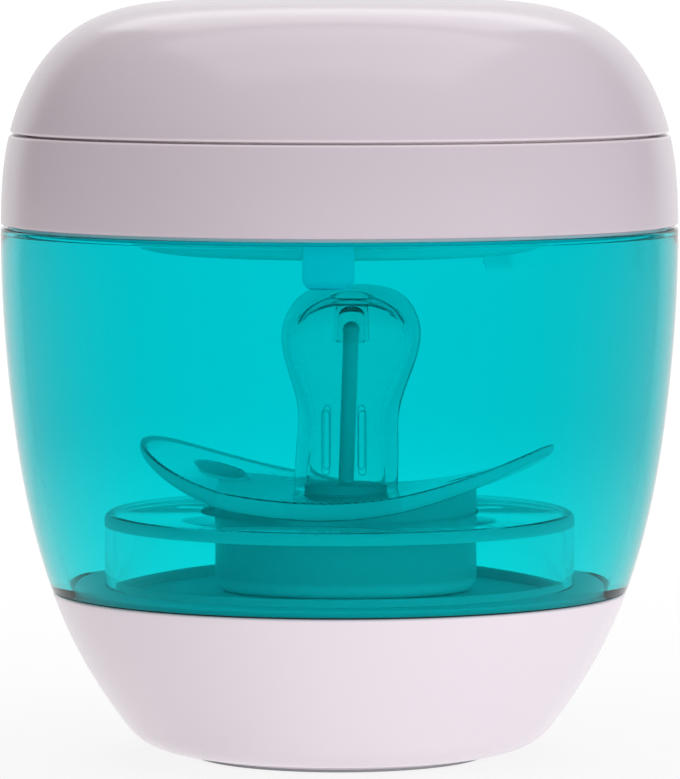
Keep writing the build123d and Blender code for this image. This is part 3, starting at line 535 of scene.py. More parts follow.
# %% The lathe
def rounded(outline, steps=4):
    """The outline with its marked corners replaced by arcs."""
    made = []
    count = len(outline)
    for i, corner in enumerate(outline):
        here = Vector(corner[:2])
        if len(corner) < 3:
            made.append(here)
            continue
        before = (Vector(outline[i - 1][:2]) - here).normalized()
        after = (Vector(outline[(i + 1) % count][:2]) - here).normalized()
        half = before.angle(after) / 2
        centre = here + (before + after).normalized() * (corner[2] / sin(half))
        first = here + before * (corner[2] / tan(half)) - centre
        last = here + after * (corner[2] / tan(half)) - centre
        swing = pi - 2 * half
        for k in range(steps + 1):
            turn = swing * k / steps
            made.append(centre + (first * sin(swing - turn) + last * sin(turn)) / sin(swing))
    return made


def select(*pieces):
    """Selects these pieces and nothing else. The first one is active."""
    bpy.ops.object.select_all(action="DESELECT")
    for piece in pieces:
        piece.select_set(True)
    if pieces:
        bpy.context.view_layer.objects.active = pieces[0]


def fix_place(piece):
    """Puts the piece's place into its mesh, so that its object sits at the origin."""
    select(piece)
    bpy.ops.object.transform_apply(location=True, rotation=True, scale=True)
    return piece


def settle(piece, smooth=30.0):
    """Finishes a piece: its place goes into its mesh, and what is meant to be round is smooth."""
    fix_place(piece)
    bpy.ops.object.shade_smooth_by_angle(angle=radians(smooth))
    return piece


def lathe(name, outline, segments=160):
    """Spins a closed outline of (radius, height), in millimetres, about the upright axis."""
    points = rounded(outline)
    select()
    bpy.ops.mesh.primitive_circle_add(vertices=len(points), radius=0.01, fill_type="NOTHING")
    piece = bpy.context.object
    piece.name = piece.data.name = name
    for vertex, point in zip(piece.data.vertices, points):
        vertex.co = (point.x * MM, 0, point.y * MM)
    bpy.ops.object.mode_set(mode="EDIT")
    bpy.ops.mesh.select_all(action="SELECT")
    bpy.ops.mesh.spin(steps=segments, angle=2 * pi, center=(0, 0, 0), axis=(0, 0, 1))
    bpy.ops.mesh.select_all(action="SELECT")
    bpy.ops.mesh.remove_doubles(threshold=0.000002)
    bpy.ops.mesh.delete_loose()
    bpy.ops.mesh.select_all(action="SELECT")
    bpy.ops.mesh.normals_make_consistent(inside=False)
    bpy.ops.object.mode_set(mode="OBJECT")
    return settle(piece)


def paint(shape, *finishes):
    """The shape gets these finishes. Its faces use the first one."""
    shape.data.materials.clear()
    for finish in finishes:
        shape.data.materials.append(finish.material)


def paint_some(piece, where):
    """The faces that `where` picks use the piece's second finish."""
    for face in piece.data.polygons:
        face.material_index = int(where(face))


def take_place(piece, node, body):
    """The new piece takes the node's place and moves with its body."""
    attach(piece, body)
    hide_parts(node)
    corners = list(zip(*piece.bound_box))
    new = [*map(min, corners), *map(max, corners)]
    old = [*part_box(node)[0], *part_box(node)[1]]
    gap = max(abs(a - b) for a, b in zip(old, new)) / MM
    print(f"{piece.name}: {len(piece.data.polygons)} faces, box within {gap:.2f} mm of the model's")


def stand_for(piece, node, body, finish, *more, smooth=30.0):
    """The new piece is settled, painted and takes the node's place. Some of its faces may use further finishes."""
    paint(settle(piece, smooth), finish, *more)
    take_place(piece, node, body)


# %% [markdown]
# Holes, lugs and slots are cut and joined with a second shape, as in a workshop. A Boolean modifier does it, and
# like every modifier here it is applied at once, so that the piece stays one plain mesh. The second shapes are
# bars, bricks, and the tight skin around several bars.

# %% Cutting and joining
def modify(piece, kind, **settings):
    select(piece)
    bpy.ops.object.modifier_add(type=kind)
    modifier = piece.modifiers[-1]
    for name, value in settings.items():
        setattr(modifier, name, value)
    bpy.ops.object.modifier_apply(modifier=modifier.name)
    return piece


def combine(piece, tool, how):
    modify(piece, "BOOLEAN", operation=how, solver="EXACT", object=tool)
    bpy.data.objects.remove(tool)


def add(piece, tool):
    combine(piece, tool, "UNION")


def cut(piece, tool):
    combine(piece, tool, "DIFFERENCE")


def bevel(piece, width, segments=3, angle=40.0):
    return modify(piece, "BEVEL", width=width * MM, segments=segments, limit_method="ANGLE",
                  angle_limit=radians(angle))


def even_out(piece, grain, strokes):
    """New skin of small even faces, rubbed smooth, where cuts have left long thin ones that shade badly."""
    modify(piece, "REMESH", mode="VOXEL", voxel_size=grain * MM)
    modify(piece, "SMOOTH", factor=0.5, iterations=strokes)
    print(piece.name, "evened out to", len(piece.data.polygons), "faces")


def twin_of(piece):
    """A copy with a mesh of its own."""
    twin = piece.copy()
    twin.data = piece.data.copy()
    bpy.context.scene.collection.objects.link(twin)
    return twin


def rod(radius, start, end, vertices=64):
    """A round bar from one point to another, in millimetres."""
    start, end = Vector(start) * MM, Vector(end) * MM
    select()
    bpy.ops.mesh.primitive_cylinder_add(vertices=vertices, radius=radius * MM, depth=(end - start).length)
    bar = bpy.context.object
    turn = (end - start).to_track_quat("Z", "Y").to_matrix().to_4x4()
    bar.matrix_world = Matrix.Translation((start + end) / 2) @ turn
    return fix_place(bar)


def upright(radius, place, low, high, vertices=64):
    """A round bar that stands on end at a place (x, y)."""
    return rod(radius, (*place, low), (*place, high), vertices)


def brick(x, y, z):
    """A box between pairs of limits, in millimetres."""
    select()
    bpy.ops.mesh.primitive_cube_add(size=1.0)
    box = bpy.context.object
    box.scale = [(pair[1] - pair[0]) * MM for pair in (x, y, z)]
    box.location = [(pair[0] + pair[1]) / 2 * MM for pair in (x, y, z)]
    return fix_place(box)


def wrap(*shapes):
    """The tight skin around several shapes, as cling film would lie."""
    select(*shapes)
    bpy.ops.object.join()
    bpy.ops.object.mode_set(mode="EDIT")
    bpy.ops.mesh.select_all(action="SELECT")
    bpy.ops.mesh.convex_hull()
    bpy.ops.object.mode_set(mode="OBJECT")
    return bpy.context.object


def around(circle, *angles):
    """Places (x, y) on a circle about the middle of the case."""
    return [(circle * cos(radians(angle)), circle * sin(radians(angle))) for angle in angles]


# %% [markdown]
# The base is a bowl with a flat foot. Its rim has a groove that takes the chamber's tongue, and its floor has
# three posts for the screws that come up from below the foot pad. The bowl is turned first, then the posts are
# joined and their holes drilled: a wide one for the screw's head and a narrow one for its shank.

# %% Base shell
PAD_RADIUS, PAD_TOP = 16.4, 1.0
DECK_TOP, CHAMBER_BOTTOM = BASE_TOP + 0.8, BASE_TOP + 0.2
WALL, GROOVE_LOW = 2.0, 16.8
TONGUE_OUT = radius_at(WALL, BASE_TOP) + 1.0
THREE_WAYS, BASE_SCREW_CIRCLE, BASE_SCREW_SEAT, BASE_POST_TOP = (90, 210, 330), 12.8, 2.5, 4.9
HEAD_HOLE, SHANK_HOLE, THREAD_HOLE = 2.05, 1.1, 0.8    # radii

base_shell = lathe("base_shell_moulding", (
    [(PAD_RADIUS + 0.12, PAD_TOP), (PAD_RADIUS + 0.12, BASE_BOTTOM, 0.15)]
    + wall(0, BASE_BOTTOM + 0.01, BASE_TOP)[1:-1]
    + [(radius_at(0, BASE_TOP), BASE_TOP, 0.25), (TONGUE_OUT + 0.1, BASE_TOP, 0.12), (TONGUE_OUT + 0.1, GROOVE_LOW),
       (radius_at(WALL, GROOVE_LOW), GROOVE_LOW)]
    + [tuple(p) for p in egg(WALL) if p[1] < GROOVE_LOW - 0.2][::-1]
    + [(0, BASE_BOTTOM + WALL), (0, PAD_TOP)]), 192)
for place in around(BASE_SCREW_CIRCLE, *THREE_WAYS):
    add(base_shell, upright(4.2, place, 2.1, BASE_POST_TOP))
    cut(base_shell, upright(HEAD_HOLE, place, 0, BASE_SCREW_SEAT))
    cut(base_shell, upright(SHANK_HOLE, place, 0, 6.0))
stand_for(base_shell, "base_shell", "case", painted_lighter_white)

# %% [markdown]
# A thin gasket lies in the seam between the base and the chamber. Its outer edge is what draws the dark line
# round the case there. Further in it is painted paler: painted light, for the light that falls through the
# chamber, so only that edge is dark. Under the foot, a rubber pad keeps the case from sliding. It has fine
# rings moulded into it.

# %% Gasket and foot pad
seam_rubber = rubber("seam_gasket", DARK_RUBBER)
seam_rubber.slot = "dark_gasket"
GASKET_INSET = 0.35
from_axis = seam_rubber.place.from_axis()
# painted light: inside its outer edge the dark gasket is painted paler, for the light that falls through the
# chamber
outer_edge = from_axis.math("GREATER_THAN", from_axis, (radius_at(GASKET_INSET, BASE_TOP) - 0.2) * MM)
seam_rubber.feed("Base Color", outer_edge.between((0.30, 0.42, 0.44), DARK_RUBBER))
gasket = lathe("base_gasket_ring", [
    (TONGUE_OUT + 0.1, BASE_TOP), (radius_at(GASKET_INSET, BASE_TOP), BASE_TOP, 0.05),
    (radius_at(GASKET_INSET, CHAMBER_BOTTOM), CHAMBER_BOTTOM, 0.05), (TONGUE_OUT + 0.1, CHAMBER_BOTTOM)], 192)
stand_for(gasket, "base_gasket", "case", seam_rubber)

pad = [(0, 0.0)]
for groove in [ring * 2.05 for ring in range(1, 8)]:
    pad += [(groove - 0.45, 0.0, 0.1), (groove - 0.25, 0.25, 0.1), (groove + 0.25, 0.25, 0.1),
            (groove + 0.45, 0.0, 0.1)]
pad += [(PAD_RADIUS, 0.0, 0.25), (PAD_RADIUS, PAD_TOP, 0.1), (0, PAD_TOP)]
foot_pad = lathe("foot_pad_ribbed", pad, 128)
stand_for(foot_pad, "foot_pad", "case", foot_rubber)

# %% [markdown]
# The deck closes the base from above and is the floor of the chamber. A low ring on it keeps the pacifier's
# stand in the middle. Three posts below it take the base screws.

# %% Deck
CHAMBER_IN = radius_at(WALL, CHAMBER_BOTTOM)
deck_out, deck_low, guide_out, guide_in = CHAMBER_IN - 0.25, DECK_TOP - 1.2, 24.75, 23.65
deck = lathe("base_deck_plate", [
    (0, deck_low), (deck_out, deck_low, 0.1), (deck_out, DECK_TOP, 0.3), (guide_out, DECK_TOP),
    (guide_out, DECK_TOP + 0.8, 0.2), (guide_in, DECK_TOP + 0.8, 0.2), (guide_in, DECK_TOP), (0, DECK_TOP)], 160)
for place in around(BASE_SCREW_CIRCLE, *THREE_WAYS):
    add(deck, upright(2.8, place, BASE_POST_TOP, 18.2))
    cut(deck, upright(THREAD_HOLE, place, 4.0, 17.0, 32))
stand_for(deck, "base_deck", "case", grey)

# %% [markdown]
# The chamber is the turquoise window all round. Its wall is 2 mm thick, with a step at the rim where the lid's
# collar sits and a thin tongue below that goes into the base. The hinge lugs at the back are wrapped around three
# round bars, cut to the wall and drilled for the pin, and a small shelf inside meets the lid's safety pin.

# %% Chamber
MOUTH, STEP = radius_at(WALL, RIM), RIM - 0.7
HINGE_Y, HINGE_Z, HINGE_PIN, HINGE_EYE = BELLY + 2.6, RIM + 0.15, 1.0, 2.2
chamber = lathe("chamber_window", (
    wall(0, CHAMBER_BOTTOM, RIM)[:-1]
    + [(radius_at(0, RIM), RIM, 0.25), (MOUTH + 0.8, RIM, 0.15), (MOUTH + 0.8, STEP), (MOUTH, STEP, 0.15)]
    + wall(WALL, CHAMBER_BOTTOM, STEP)[:-1][::-1]
    + [(CHAMBER_IN, BASE_TOP - 1.5), (TONGUE_OUT, BASE_TOP - 1.5, 0.2), (TONGUE_OUT, CHAMBER_BOTTOM)]), 192)


def hinge_part(left, right, *roots):
    """An eye for the pin, wrapped together with the bars of its root on the wall."""
    bars = (HINGE_EYE, HINGE_Y, HINGE_Z), *roots
    return bevel(wrap(*[rod(r, (left, y, z), (right, y, z), 48) for r, y, z in bars]), 0.25)


def clear_inside(part, inset, low, high):
    """Cuts away what reaches into the room inside the wall."""
    cut(part, lathe("inside", [(0, low)] + wall(inset, low, high) + [(0, high)], 192))


def hinge_bar(radius, half, vertices=32):
    return rod(radius, (-half, HINGE_Y, HINGE_Z), (half, HINGE_Y, HINGE_Z), vertices)


LUG_ASIDE, LUG_HALF = 12, 1.85
for middle_x in (-LUG_ASIDE, LUG_ASIDE):
    lug = hinge_part(middle_x - LUG_HALF, middle_x + LUG_HALF, (0.7, BELLY - 0.9, HINGE_Z - 4.6),
                     (0.7, BELLY - 3.2, RIM - 1.6))
    clear_inside(lug, 1.2, 45, 66)
    cut(lug, upright(BELLY + 0.4, (0, 0), RIM, 80, 192))
    add(chamber, lug)

FLOOR_LOW, FLOOR_TOP = 59.2, 60.8    # the floor of the lid's ring
PIN_ANGLE, PIN_CIRCLE = 58.0, radius_at(1.8, FLOOR_TOP) - 4.15    # where the lid's safety pin comes down
shelf_top = FLOOR_LOW - 1.4 - 0.15
shelf_low = shelf_top - 6.0
shelf = wrap(*[rod(0.12, (x, -1.7, z), (x, 1.7, z), 12) for x, z in (
    (PIN_CIRCLE - 1.2, shelf_top - 0.12), (radius_at(1.0, shelf_top) - 0.2, shelf_top - 0.12),
    (radius_at(1.0, shelf_low) - 0.1, shelf_low), (PIN_CIRCLE - 1.2, shelf_top - 1.0))])
shelf.data.transform(Matrix.Rotation(radians(PIN_ANGLE), 4, "Z"))
add(chamber, shelf)
cut(chamber, hinge_bar(HINGE_PIN, 15))
stand_for(chamber, "chamber", "case", teal)

# %% [markdown]
# The hinge pin is a plain steel rod with its ends broken by a small chamfer, so it can be pushed in.

# %% Hinge pin
hinge_pin = bevel(hinge_bar(HINGE_PIN, LUG_ASIDE + LUG_HALF, 48), 0.2, 2)
hinge_pin.name = "hinge_pin_rod"
stand_for(hinge_pin, "hinge_pin", "case", steel)

# %% [markdown]
# The stand is a clear cap with a hole in its top that holds the pacifier by its round knob. It is turned in one
# go and stands loosely over the deck's low ring.

# %% Pacifier stand
STAND_TOP = DECK_TOP + 8.0
stand_under, stand_out, stand_in, stand_hole = STAND_TOP - 1.3, 26.1, 25.0, 15.3
stand = lathe("pacifier_stand_cap", [
    (stand_out, DECK_TOP, 0.15), (stand_out, STAND_TOP, 0.8), (stand_hole, STAND_TOP, 0.3),
    (stand_hole, stand_under, 0.2), (stand_in, stand_under, 0.3), (stand_in, DECK_TOP, 0.15)], 160)
stand_for(stand, "pacifier_stand", "case", clear_plastic)
print("stand top", STAND_TOP)

# %% [markdown]
# The pacifier's shield is a thin shell, curved like a saddle's side and waisted at front and back so that it
# clears a baby's nose. It grows from its own rim: the rim is drawn as a ring of points, the ring is extruded
# inwards and shrunk again and again, and the sheet that results is thickened, curved and rounded at its edge.
# Two long vents and the hole for the post's plug are cut last, and a new even skin rids it of thin faces.

# %% Pacifier shield
SHIELD_BOTTOM = STAND_TOP + 0.05
SHIELD_TOP = SHIELD_BOTTOM + 2.0
BEND, TOP_BEND = 42.6, 48.6
PACIFIER_PLACE = Matrix.Translation((0.7 * MM, 0, 0)) @ Matrix.Rotation(radians(-15.0), 4, "Z")


def rise(radius, x):
    return radius - sqrt(radius**2 - x**2)


def press_flat(piece, below=100.0):
    """Everything in the middle of the pacifier is a little narrower from front to back than from side to side."""
    for vertex in piece.data.vertices:
        if vertex.co.z < below * MM:
            vertex.co.y *= 0.85


def rim_radius(angle):
    """Distance from the middle to the shield's edge, in millimetres: an oval, less a scoop at front and back."""
    half_long, half_wide, scoop_radius, scoop_depth, soft = 23.4, 17.5, 20.0, 3.0, 1.6
    oval = 1 / sqrt((cos(angle) / half_long) ** 2 + (sin(angle) / half_wide) ** 2)
    scoop_centre = half_wide + scoop_radius - scoop_depth
    along, off = scoop_centre * abs(sin(angle)), scoop_centre * cos(angle)
    if abs(off) >= scoop_radius:
        return oval
    scoop = along - sqrt(scoop_radius**2 - off**2)
    return -soft * np.log(np.exp(-oval / soft) + np.exp(-scoop / soft)) + 0.25


select()
bpy.ops.mesh.primitive_circle_add(vertices=128, radius=0.02, fill_type="NOTHING")
shield = bpy.context.object
shield.name = shield.data.name = "pacifier_shield_shell"
for vertex in shield.data.vertices:
    angle = atan2(vertex.co.y, vertex.co.x)
    reach = rim_radius(angle) * MM
    vertex.co = (reach * cos(angle), reach * sin(angle), 0)
bpy.ops.object.mode_set(mode="EDIT")
bpy.ops.mesh.select_all(action="SELECT")
RINGS = 15
for ring in range(1, RINGS):
    shrink = (RINGS - ring) / (RINGS - ring + 1)
    bpy.ops.mesh.extrude_edges_move()
    bpy.ops.transform.resize(value=(shrink, shrink, 1), center_override=(0, 0, 0))
bpy.ops.mesh.extrude_edges_move()
bpy.ops.mesh.merge(type="CENTER")
bpy.ops.mesh.select_all(action="SELECT")
bpy.ops.mesh.normals_make_consistent(inside=False)
bpy.ops.object.mode_set(mode="OBJECT")
if shield.data.polygons[0].normal.z < 0:
    shield.data.flip_normals()
modify(shield, "SOLIDIFY", thickness=2.0 * MM, offset=0.0)
for vertex in shield.data.vertices:
    x, upper = vertex.co.x / MM, vertex.co.z > 0
    vertex.co.z = (SHIELD_TOP + rise(TOP_BEND, x) if upper else SHIELD_BOTTOM + rise(BEND, x)) * MM
bevel(shield, 0.42, 4, 50.0)
VENT_ASIDE, VENT_HALF_WIDE, VENT_HALF_LONG, PLUG_RADIUS = 14.5, 2.5, 4.0, 4.3
for x in (-VENT_ASIDE, VENT_ASIDE):
    vent = upright(1.0, (x, 0), 24, 44, 40)
    for vertex in vent.data.vertices:
        vertex.co.x = x * MM + (vertex.co.x - x * MM) * VENT_HALF_WIDE
        vertex.co.y *= VENT_HALF_LONG
    cut(shield, vent)
plug_hole = upright(PLUG_RADIUS, (0, 0), 20, 40)
press_flat(plug_hole)
cut(shield, plug_hole)
shield.data.transform(PACIFIER_PLACE)
even_out(shield, 0.26, 8)
stand_for(shield, "pacifier_shield", "pacifier", pacifier_clear, smooth=60.0)

# %% [markdown]
# The knob on the back of the shield is turned, hollowed from below, and then its top is cut away with a large
# round bar so that it follows the shield's curve. The soft nipple is turned from two soft lines, an outer and an
# inner one, and pressed a little flat. Its lower end is bent to the shield's curve, and inside its tip hangs a
# small cup that holds the end of the post.

# %% Knob and nipple
def trough(radius, bottom):
    """A large bar along Y that touches the height `bottom` with its underside."""
    return rod(radius, (0, -30, bottom + radius), (0, 30, bottom + radius), 256)


KNOB_LOW = DECK_TOP + 0.05
knob_radius, hollow_radius, hollow_top, uncut_top = 14.5, 11.5, KNOB_LOW + 2.0, SHIELD_BOTTOM + 4.0
knob = lathe("pacifier_knob_disc", [
    (0, hollow_top), (hollow_radius, hollow_top, 0.6), (hollow_radius, KNOB_LOW, 0.4), (knob_radius, KNOB_LOW, 1.5),
    (knob_radius, uncut_top), (0, uncut_top)], 128)
cut(knob, trough(BEND, SHIELD_BOTTOM))
knob.data.transform(PACIFIER_PLACE)
stand_for(knob, "pacifier_knob", "pacifier", knob_plastic)


def nipple_line(inset):
    tall, neck, bulb = 23.1, 5.75 - inset, 7.7 - inset
    points = [(5.8 - inset, 0), (neck, 0.2 * tall), (neck, 0.41 * tall), (bulb, 0.80 * tall),
              (0.75 * bulb, 0.945 * tall - inset), (0, tall - inset)]
    line, _ = soft_line(points, (0, 1), (-1, 0), 14)
    return [(float(r), float(z) + SHIELD_TOP) for r, z in line]


def lean(piece):
    """The soft part stands a little askew: it leans to one side the more the higher it is."""
    for vertex in piece.data.vertices:
        vertex.co.x += 0.033 * (vertex.co.z - SHIELD_TOP * MM)


inner_wall = [p for p in nipple_line(1.6) if p[0] > 1.75]
cup_top = inner_wall[-1][1]
tip_cup = [(1.8, cup_top, 0.5), (2.05, cup_top - 4.6, 0.25), (1.5, cup_top - 4.6, 0.25),
           (1.35, cup_top - 0.6, 1.2), (0, cup_top - 0.5)]
nipple = lathe("pacifier_nipple_teat", nipple_line(0) + tip_cup[::-1] + inner_wall[::-1], 192)
for vertex in nipple.data.vertices:
    near_shield = max(0.0, 1 - (vertex.co.z / MM - SHIELD_TOP) / 6.0)
    vertex.co.z += near_shield * rise(TOP_BEND, vertex.co.x / MM) * MM
press_flat(nipple)
nipple.data.transform(PACIFIER_PLACE)
lean(nipple)
stand_for(nipple, "pacifier_nipple", "pacifier", silicone, smooth=50.0)

# %% [markdown]
# Inside the nipple a thin post stands on a round plug, with a small rounded tip.

# %% Core
CORE_TIP, BALL, POST = SHIELD_TOP + 22.8 - 1.6 - 2.1, 0.95, 0.85
plug_low, plug_top = SHIELD_BOTTOM + 0.25, SHIELD_TOP + 1.0
tip = [(BALL * sin(a), CORE_TIP - BALL + BALL * cos(a)) for a in np.linspace(2.0, 0.0, 10)]
core = lathe("pacifier_core_post", [
    (0, plug_low), (PLUG_RADIUS, plug_low, 0.15), (PLUG_RADIUS, plug_top, 0.25), (POST, plug_top, 0.3)] + tip, 48)
press_flat(core, plug_top + 0.1)
core.data.transform(PACIFIER_PLACE)
lean(core)
stand_for(core, "pacifier_core", "pacifier", core_plastic)

# %% [markdown]
# The lid's ring carries everything. Its floor has a round hole for the lamp, four posts for the screws and a
# small hole for the safety pin. Below it a collar drops into the chamber's rim, and a tongue behind the window
# keeps the front down. The hinge knuckle at the back is wrapped around three bars, as the lugs were. The tongue
# is painted in the base's lighter white: painted light, for the light that reaches it through the chamber.

# %% Lid ring
RING_BOTTOM, RING_TOP, LID_WALL = 59.0, 68.875, 1.8
BOARD_LOW, BOARD_TOP = 62.4, 64.0
POST_RADIUS, FLANGE = 2.4, 2.2
BOARD_RADIUS = PIN_CIRCLE - 2.4
SCREW_CIRCLE, LID_SCREW_ANGLES = BOARD_RADIUS - 0.3, (75, 105, 210, 330)
LAMP_RADIUS = SCREW_CIRCLE - POST_RADIUS - 0.8 - FLANGE
lamp_hole, collar_out, collar_in, collar_low = LAMP_RADIUS + 0.2, MOUTH + 0.65, MOUTH - 0.55, 58.2
ring = lathe("lid_ring_moulding", (
    [(lamp_hole, FLOOR_LOW, 0.15), (collar_in, FLOOR_LOW), (collar_in, collar_low, 0.2),
     (collar_out, collar_low, 0.2), (collar_out, FLOOR_LOW), (radius_at(LID_WALL, FLOOR_LOW), FLOOR_LOW),
     (radius_at(LID_WALL, RING_BOTTOM), RING_BOTTOM, 0.15), (radius_at(0, RING_BOTTOM), RING_BOTTOM, 0.3)]
    + wall(0, RING_BOTTOM, RING_TOP)[1:-1]
    + [(radius_at(0, RING_TOP), RING_TOP, 0.3), (radius_at(LID_WALL, RING_TOP), RING_TOP, 0.15)]
    + wall(LID_WALL, FLOOR_TOP, RING_TOP)[1:-1][::-1]
    + [(radius_at(LID_WALL, FLOOR_TOP), FLOOR_TOP, 0.4), (lamp_hole, FLOOR_TOP, 0.15)]), 192)

KNUCKLE_HALF = LUG_ASIDE - LUG_HALF - 0.3
knuckle = hinge_part(-KNUCKLE_HALF, KNUCKLE_HALF, (0.9, BELLY - 1.0, RING_BOTTOM + 1.4),
                     (0.5, BELLY - 1.0, RING_BOTTOM + 3.6))
clear_inside(knuckle, 0.9, 50, 68)
cut(knuckle, upright(BELLY + 0.4, (0, 0), 50, RING_BOTTOM, 192))
add(ring, knuckle)
cut(ring, hinge_bar(HINGE_PIN + 0.06, LUG_ASIDE))

TONGUE_X, TONGUE_HALF, TONGUE_LOW = -1.15, 2.7, RIM - 5.1
tongue_front = -(radius_at(WALL, TONGUE_LOW) - 0.45)
tongue = brick((TONGUE_X - TONGUE_HALF, TONGUE_X + TONGUE_HALF), (tongue_front, tongue_front + 1.2),
               (TONGUE_LOW, FLOOR_LOW + 0.4))
bpy.ops.object.mode_set(mode="EDIT")
bpy.ops.mesh.select_all(action="DESELECT")
bpy.ops.object.mode_set(mode="OBJECT")
for edge in tongue.data.edges:
    ends = [tongue.data.vertices[i].co for i in edge.vertices]
    edge.select = all(p.z < (TONGUE_LOW + 0.1) * MM for p in ends) and abs(ends[0].y - ends[1].y) > 0.5 * MM
bpy.ops.object.mode_set(mode="EDIT")
bpy.ops.mesh.select_mode(type="EDGE")
bpy.ops.mesh.bevel(offset=1.2 * MM, segments=6, affect="EDGES")
bpy.ops.object.mode_set(mode="OBJECT")
bevel(tongue, 0.15, 2, 60.0)
add(ring, tongue)

for place in around(SCREW_CIRCLE, *LID_SCREW_ANGLES):
    add(ring, upright(POST_RADIUS, place, FLOOR_TOP - 0.2, BOARD_LOW))
    cut(ring, upright(THREAD_HOLE, place, FLOOR_LOW + 0.6, BOARD_LOW + 1, 32))
cut(ring, upright(1.0, *around(PIN_CIRCLE, PIN_ANGLE), FLOOR_LOW - 2, FLOOR_TOP + 1, 32))
port_middle, port_half = BOARD_TOP + 1.3, 1.8
cut(ring, bevel(brick((-4.25, 4.25), (29, 44), (port_middle - port_half, port_middle + port_half)), 1.2, 6))
stand_for(ring, "lid_ring", "lid", white, painted_lighter_white)


def on_tongue(face):
    x, y, z = face.center / MM
    return abs(x - TONGUE_X) < TONGUE_HALF + 0.1 and y < tongue_front + 1.3 and z < collar_low


# painted light: the tongue's faces take the lighter copy of the white
paint_some(ring, on_tongue)

# %% [markdown]
# The lamp looks down through a clear cup set in the ring's floor. A rubber seal lies under the cup's flange, and
# a white cone inside spreads the light. Its inner face has a mirror coat: one piece with two finishes, which the
# way each face looks tells apart.

# %% Lamp window, seal and reflector
LAMP_BOTTOM, SEAL_TOP = FLOOR_LOW - 3.2, FLOOR_TOP + 0.4
FLANGE_TOP, FLANGE_OUT, CUP_WALL = SEAL_TOP + 1.0, LAMP_RADIUS + FLANGE, 1.5
cup_in = LAMP_RADIUS - CUP_WALL
lamp_window = lathe("lamp_window_cup", [
    (0, LAMP_BOTTOM), (LAMP_RADIUS, LAMP_BOTTOM, 1.0), (LAMP_RADIUS, SEAL_TOP), (FLANGE_OUT, SEAL_TOP, 0.15),
    (FLANGE_OUT, FLANGE_TOP, 0.15), (cup_in, FLANGE_TOP, 0.15), (cup_in, LAMP_BOTTOM + CUP_WALL, 0.4),
    (0, LAMP_BOTTOM + CUP_WALL)], 160)
stand_for(lamp_window, "lamp_window", "lid", lamp_clear)

seal = lathe("window_seal_ring", [
    (lamp_hole, FLOOR_TOP), (FLANGE_OUT, FLOOR_TOP, 0.1), (FLANGE_OUT, SEAL_TOP, 0.1), (lamp_hole, SEAL_TOP)], 128)
stand_for(seal, "window_seal", "lid", gasket_rubber)

cone_wide, cone_low, cone_top = cup_in - 0.2, LAMP_BOTTOM + 1.5, FLANGE_TOP - 0.1
reflector = lathe("lamp_reflector_cone", [
    (cone_wide, cone_low), (cone_wide, cone_low + 0.7, 0.1), (10.1, cone_top, 0.2), (8.6, cone_top, 0.1),
    (8.6, cone_top - 0.7), (cone_wide - 1.2, cone_low)], 128)
stand_for(reflector, "lamp_reflector", "lid", mirror, holder_white)
paint_some(reflector, lambda face: face.normal.dot((face.center * Vector((1, 1, 0))).normalized()) > 0.2)
print(f"lamp window {2 * LAMP_RADIUS:.1f} mm across")

# %% [markdown]
# The dome snaps into the ring by a skirt. Its crown is nearly flat, with a hole for the button and a groove
# around it for a ring of light. The edges at the seam are rounded, and the fine pale line there is a painted
# highlight in the white finish.

# %% Dome and its light ring
DOME_BOTTOM = 69.125
SKIRT_OUT, SKIRT_LOW = radius_at(LID_WALL, RING_TOP) - 0.15, DOME_BOTTOM - 1.9
SKIRT_IN, SKIRT_ROOT = SKIRT_OUT - 1.2, DOME_BOTTOM + 1.2
GROOVE_OUT, GROOVE_IN, GROOVE_FLOOR = 8.9, 8.0, TOP - 0.9
BUTTON_HOLE, TUBE_OUT, TUBE_LOW = 6.6, 7.8, 81.5
dome = lathe("lid_dome_moulding", (
    [(SKIRT_OUT, DOME_BOTTOM), (radius_at(0, DOME_BOTTOM), DOME_BOTTOM, 0.3)]
    + [tuple(p) for p in egg(0) if p[1] > DOME_BOTTOM + 0.3 and p[0] > GROOVE_OUT + 0.5]
    + [(GROOVE_OUT, crown_z(0, GROOVE_OUT), 0.08), (GROOVE_OUT, GROOVE_FLOOR), (GROOVE_IN, GROOVE_FLOOR),
       (GROOVE_IN, crown_z(0, GROOVE_IN), 0.08), (BUTTON_HOLE, crown_z(0, BUTTON_HOLE), 0.2),
       (BUTTON_HOLE, TUBE_LOW, 0.1), (TUBE_OUT, TUBE_LOW, 0.1), (TUBE_OUT, crown_z(LID_WALL, TUBE_OUT))]
    + [tuple(p) for p in egg(LID_WALL) if p[1] > SKIRT_ROOT + 0.2 and p[0] > TUBE_OUT + 0.6][::-1]
    + [(radius_at(LID_WALL, SKIRT_ROOT), SKIRT_ROOT), (SKIRT_IN, SKIRT_ROOT, 0.1), (SKIRT_IN, SKIRT_LOW, 0.2),
       (SKIRT_OUT, SKIRT_LOW, 0.3)]), 192)
stand_for(dome, "lid_dome", "battery_cover", white)

light_in, light_out, light_low = GROOVE_IN + 0.03, GROOVE_OUT - 0.03, GROOVE_FLOOR + 0.02
light = lathe("status_light_ring", [
    (light_in, light_low), (light_out, light_low), (light_out, crown_z(0.02, light_out), 0.1),
    (light_in, crown_z(0.02, light_in), 0.1)], 128)
stand_for(light, "status_light", "battery_cover", light_guide)

# %% [markdown]
# The button is a round cap with a shallow dish for the fingertip, a flange that stops it from coming out, and a
# stem that reaches down between the cells to the switch.

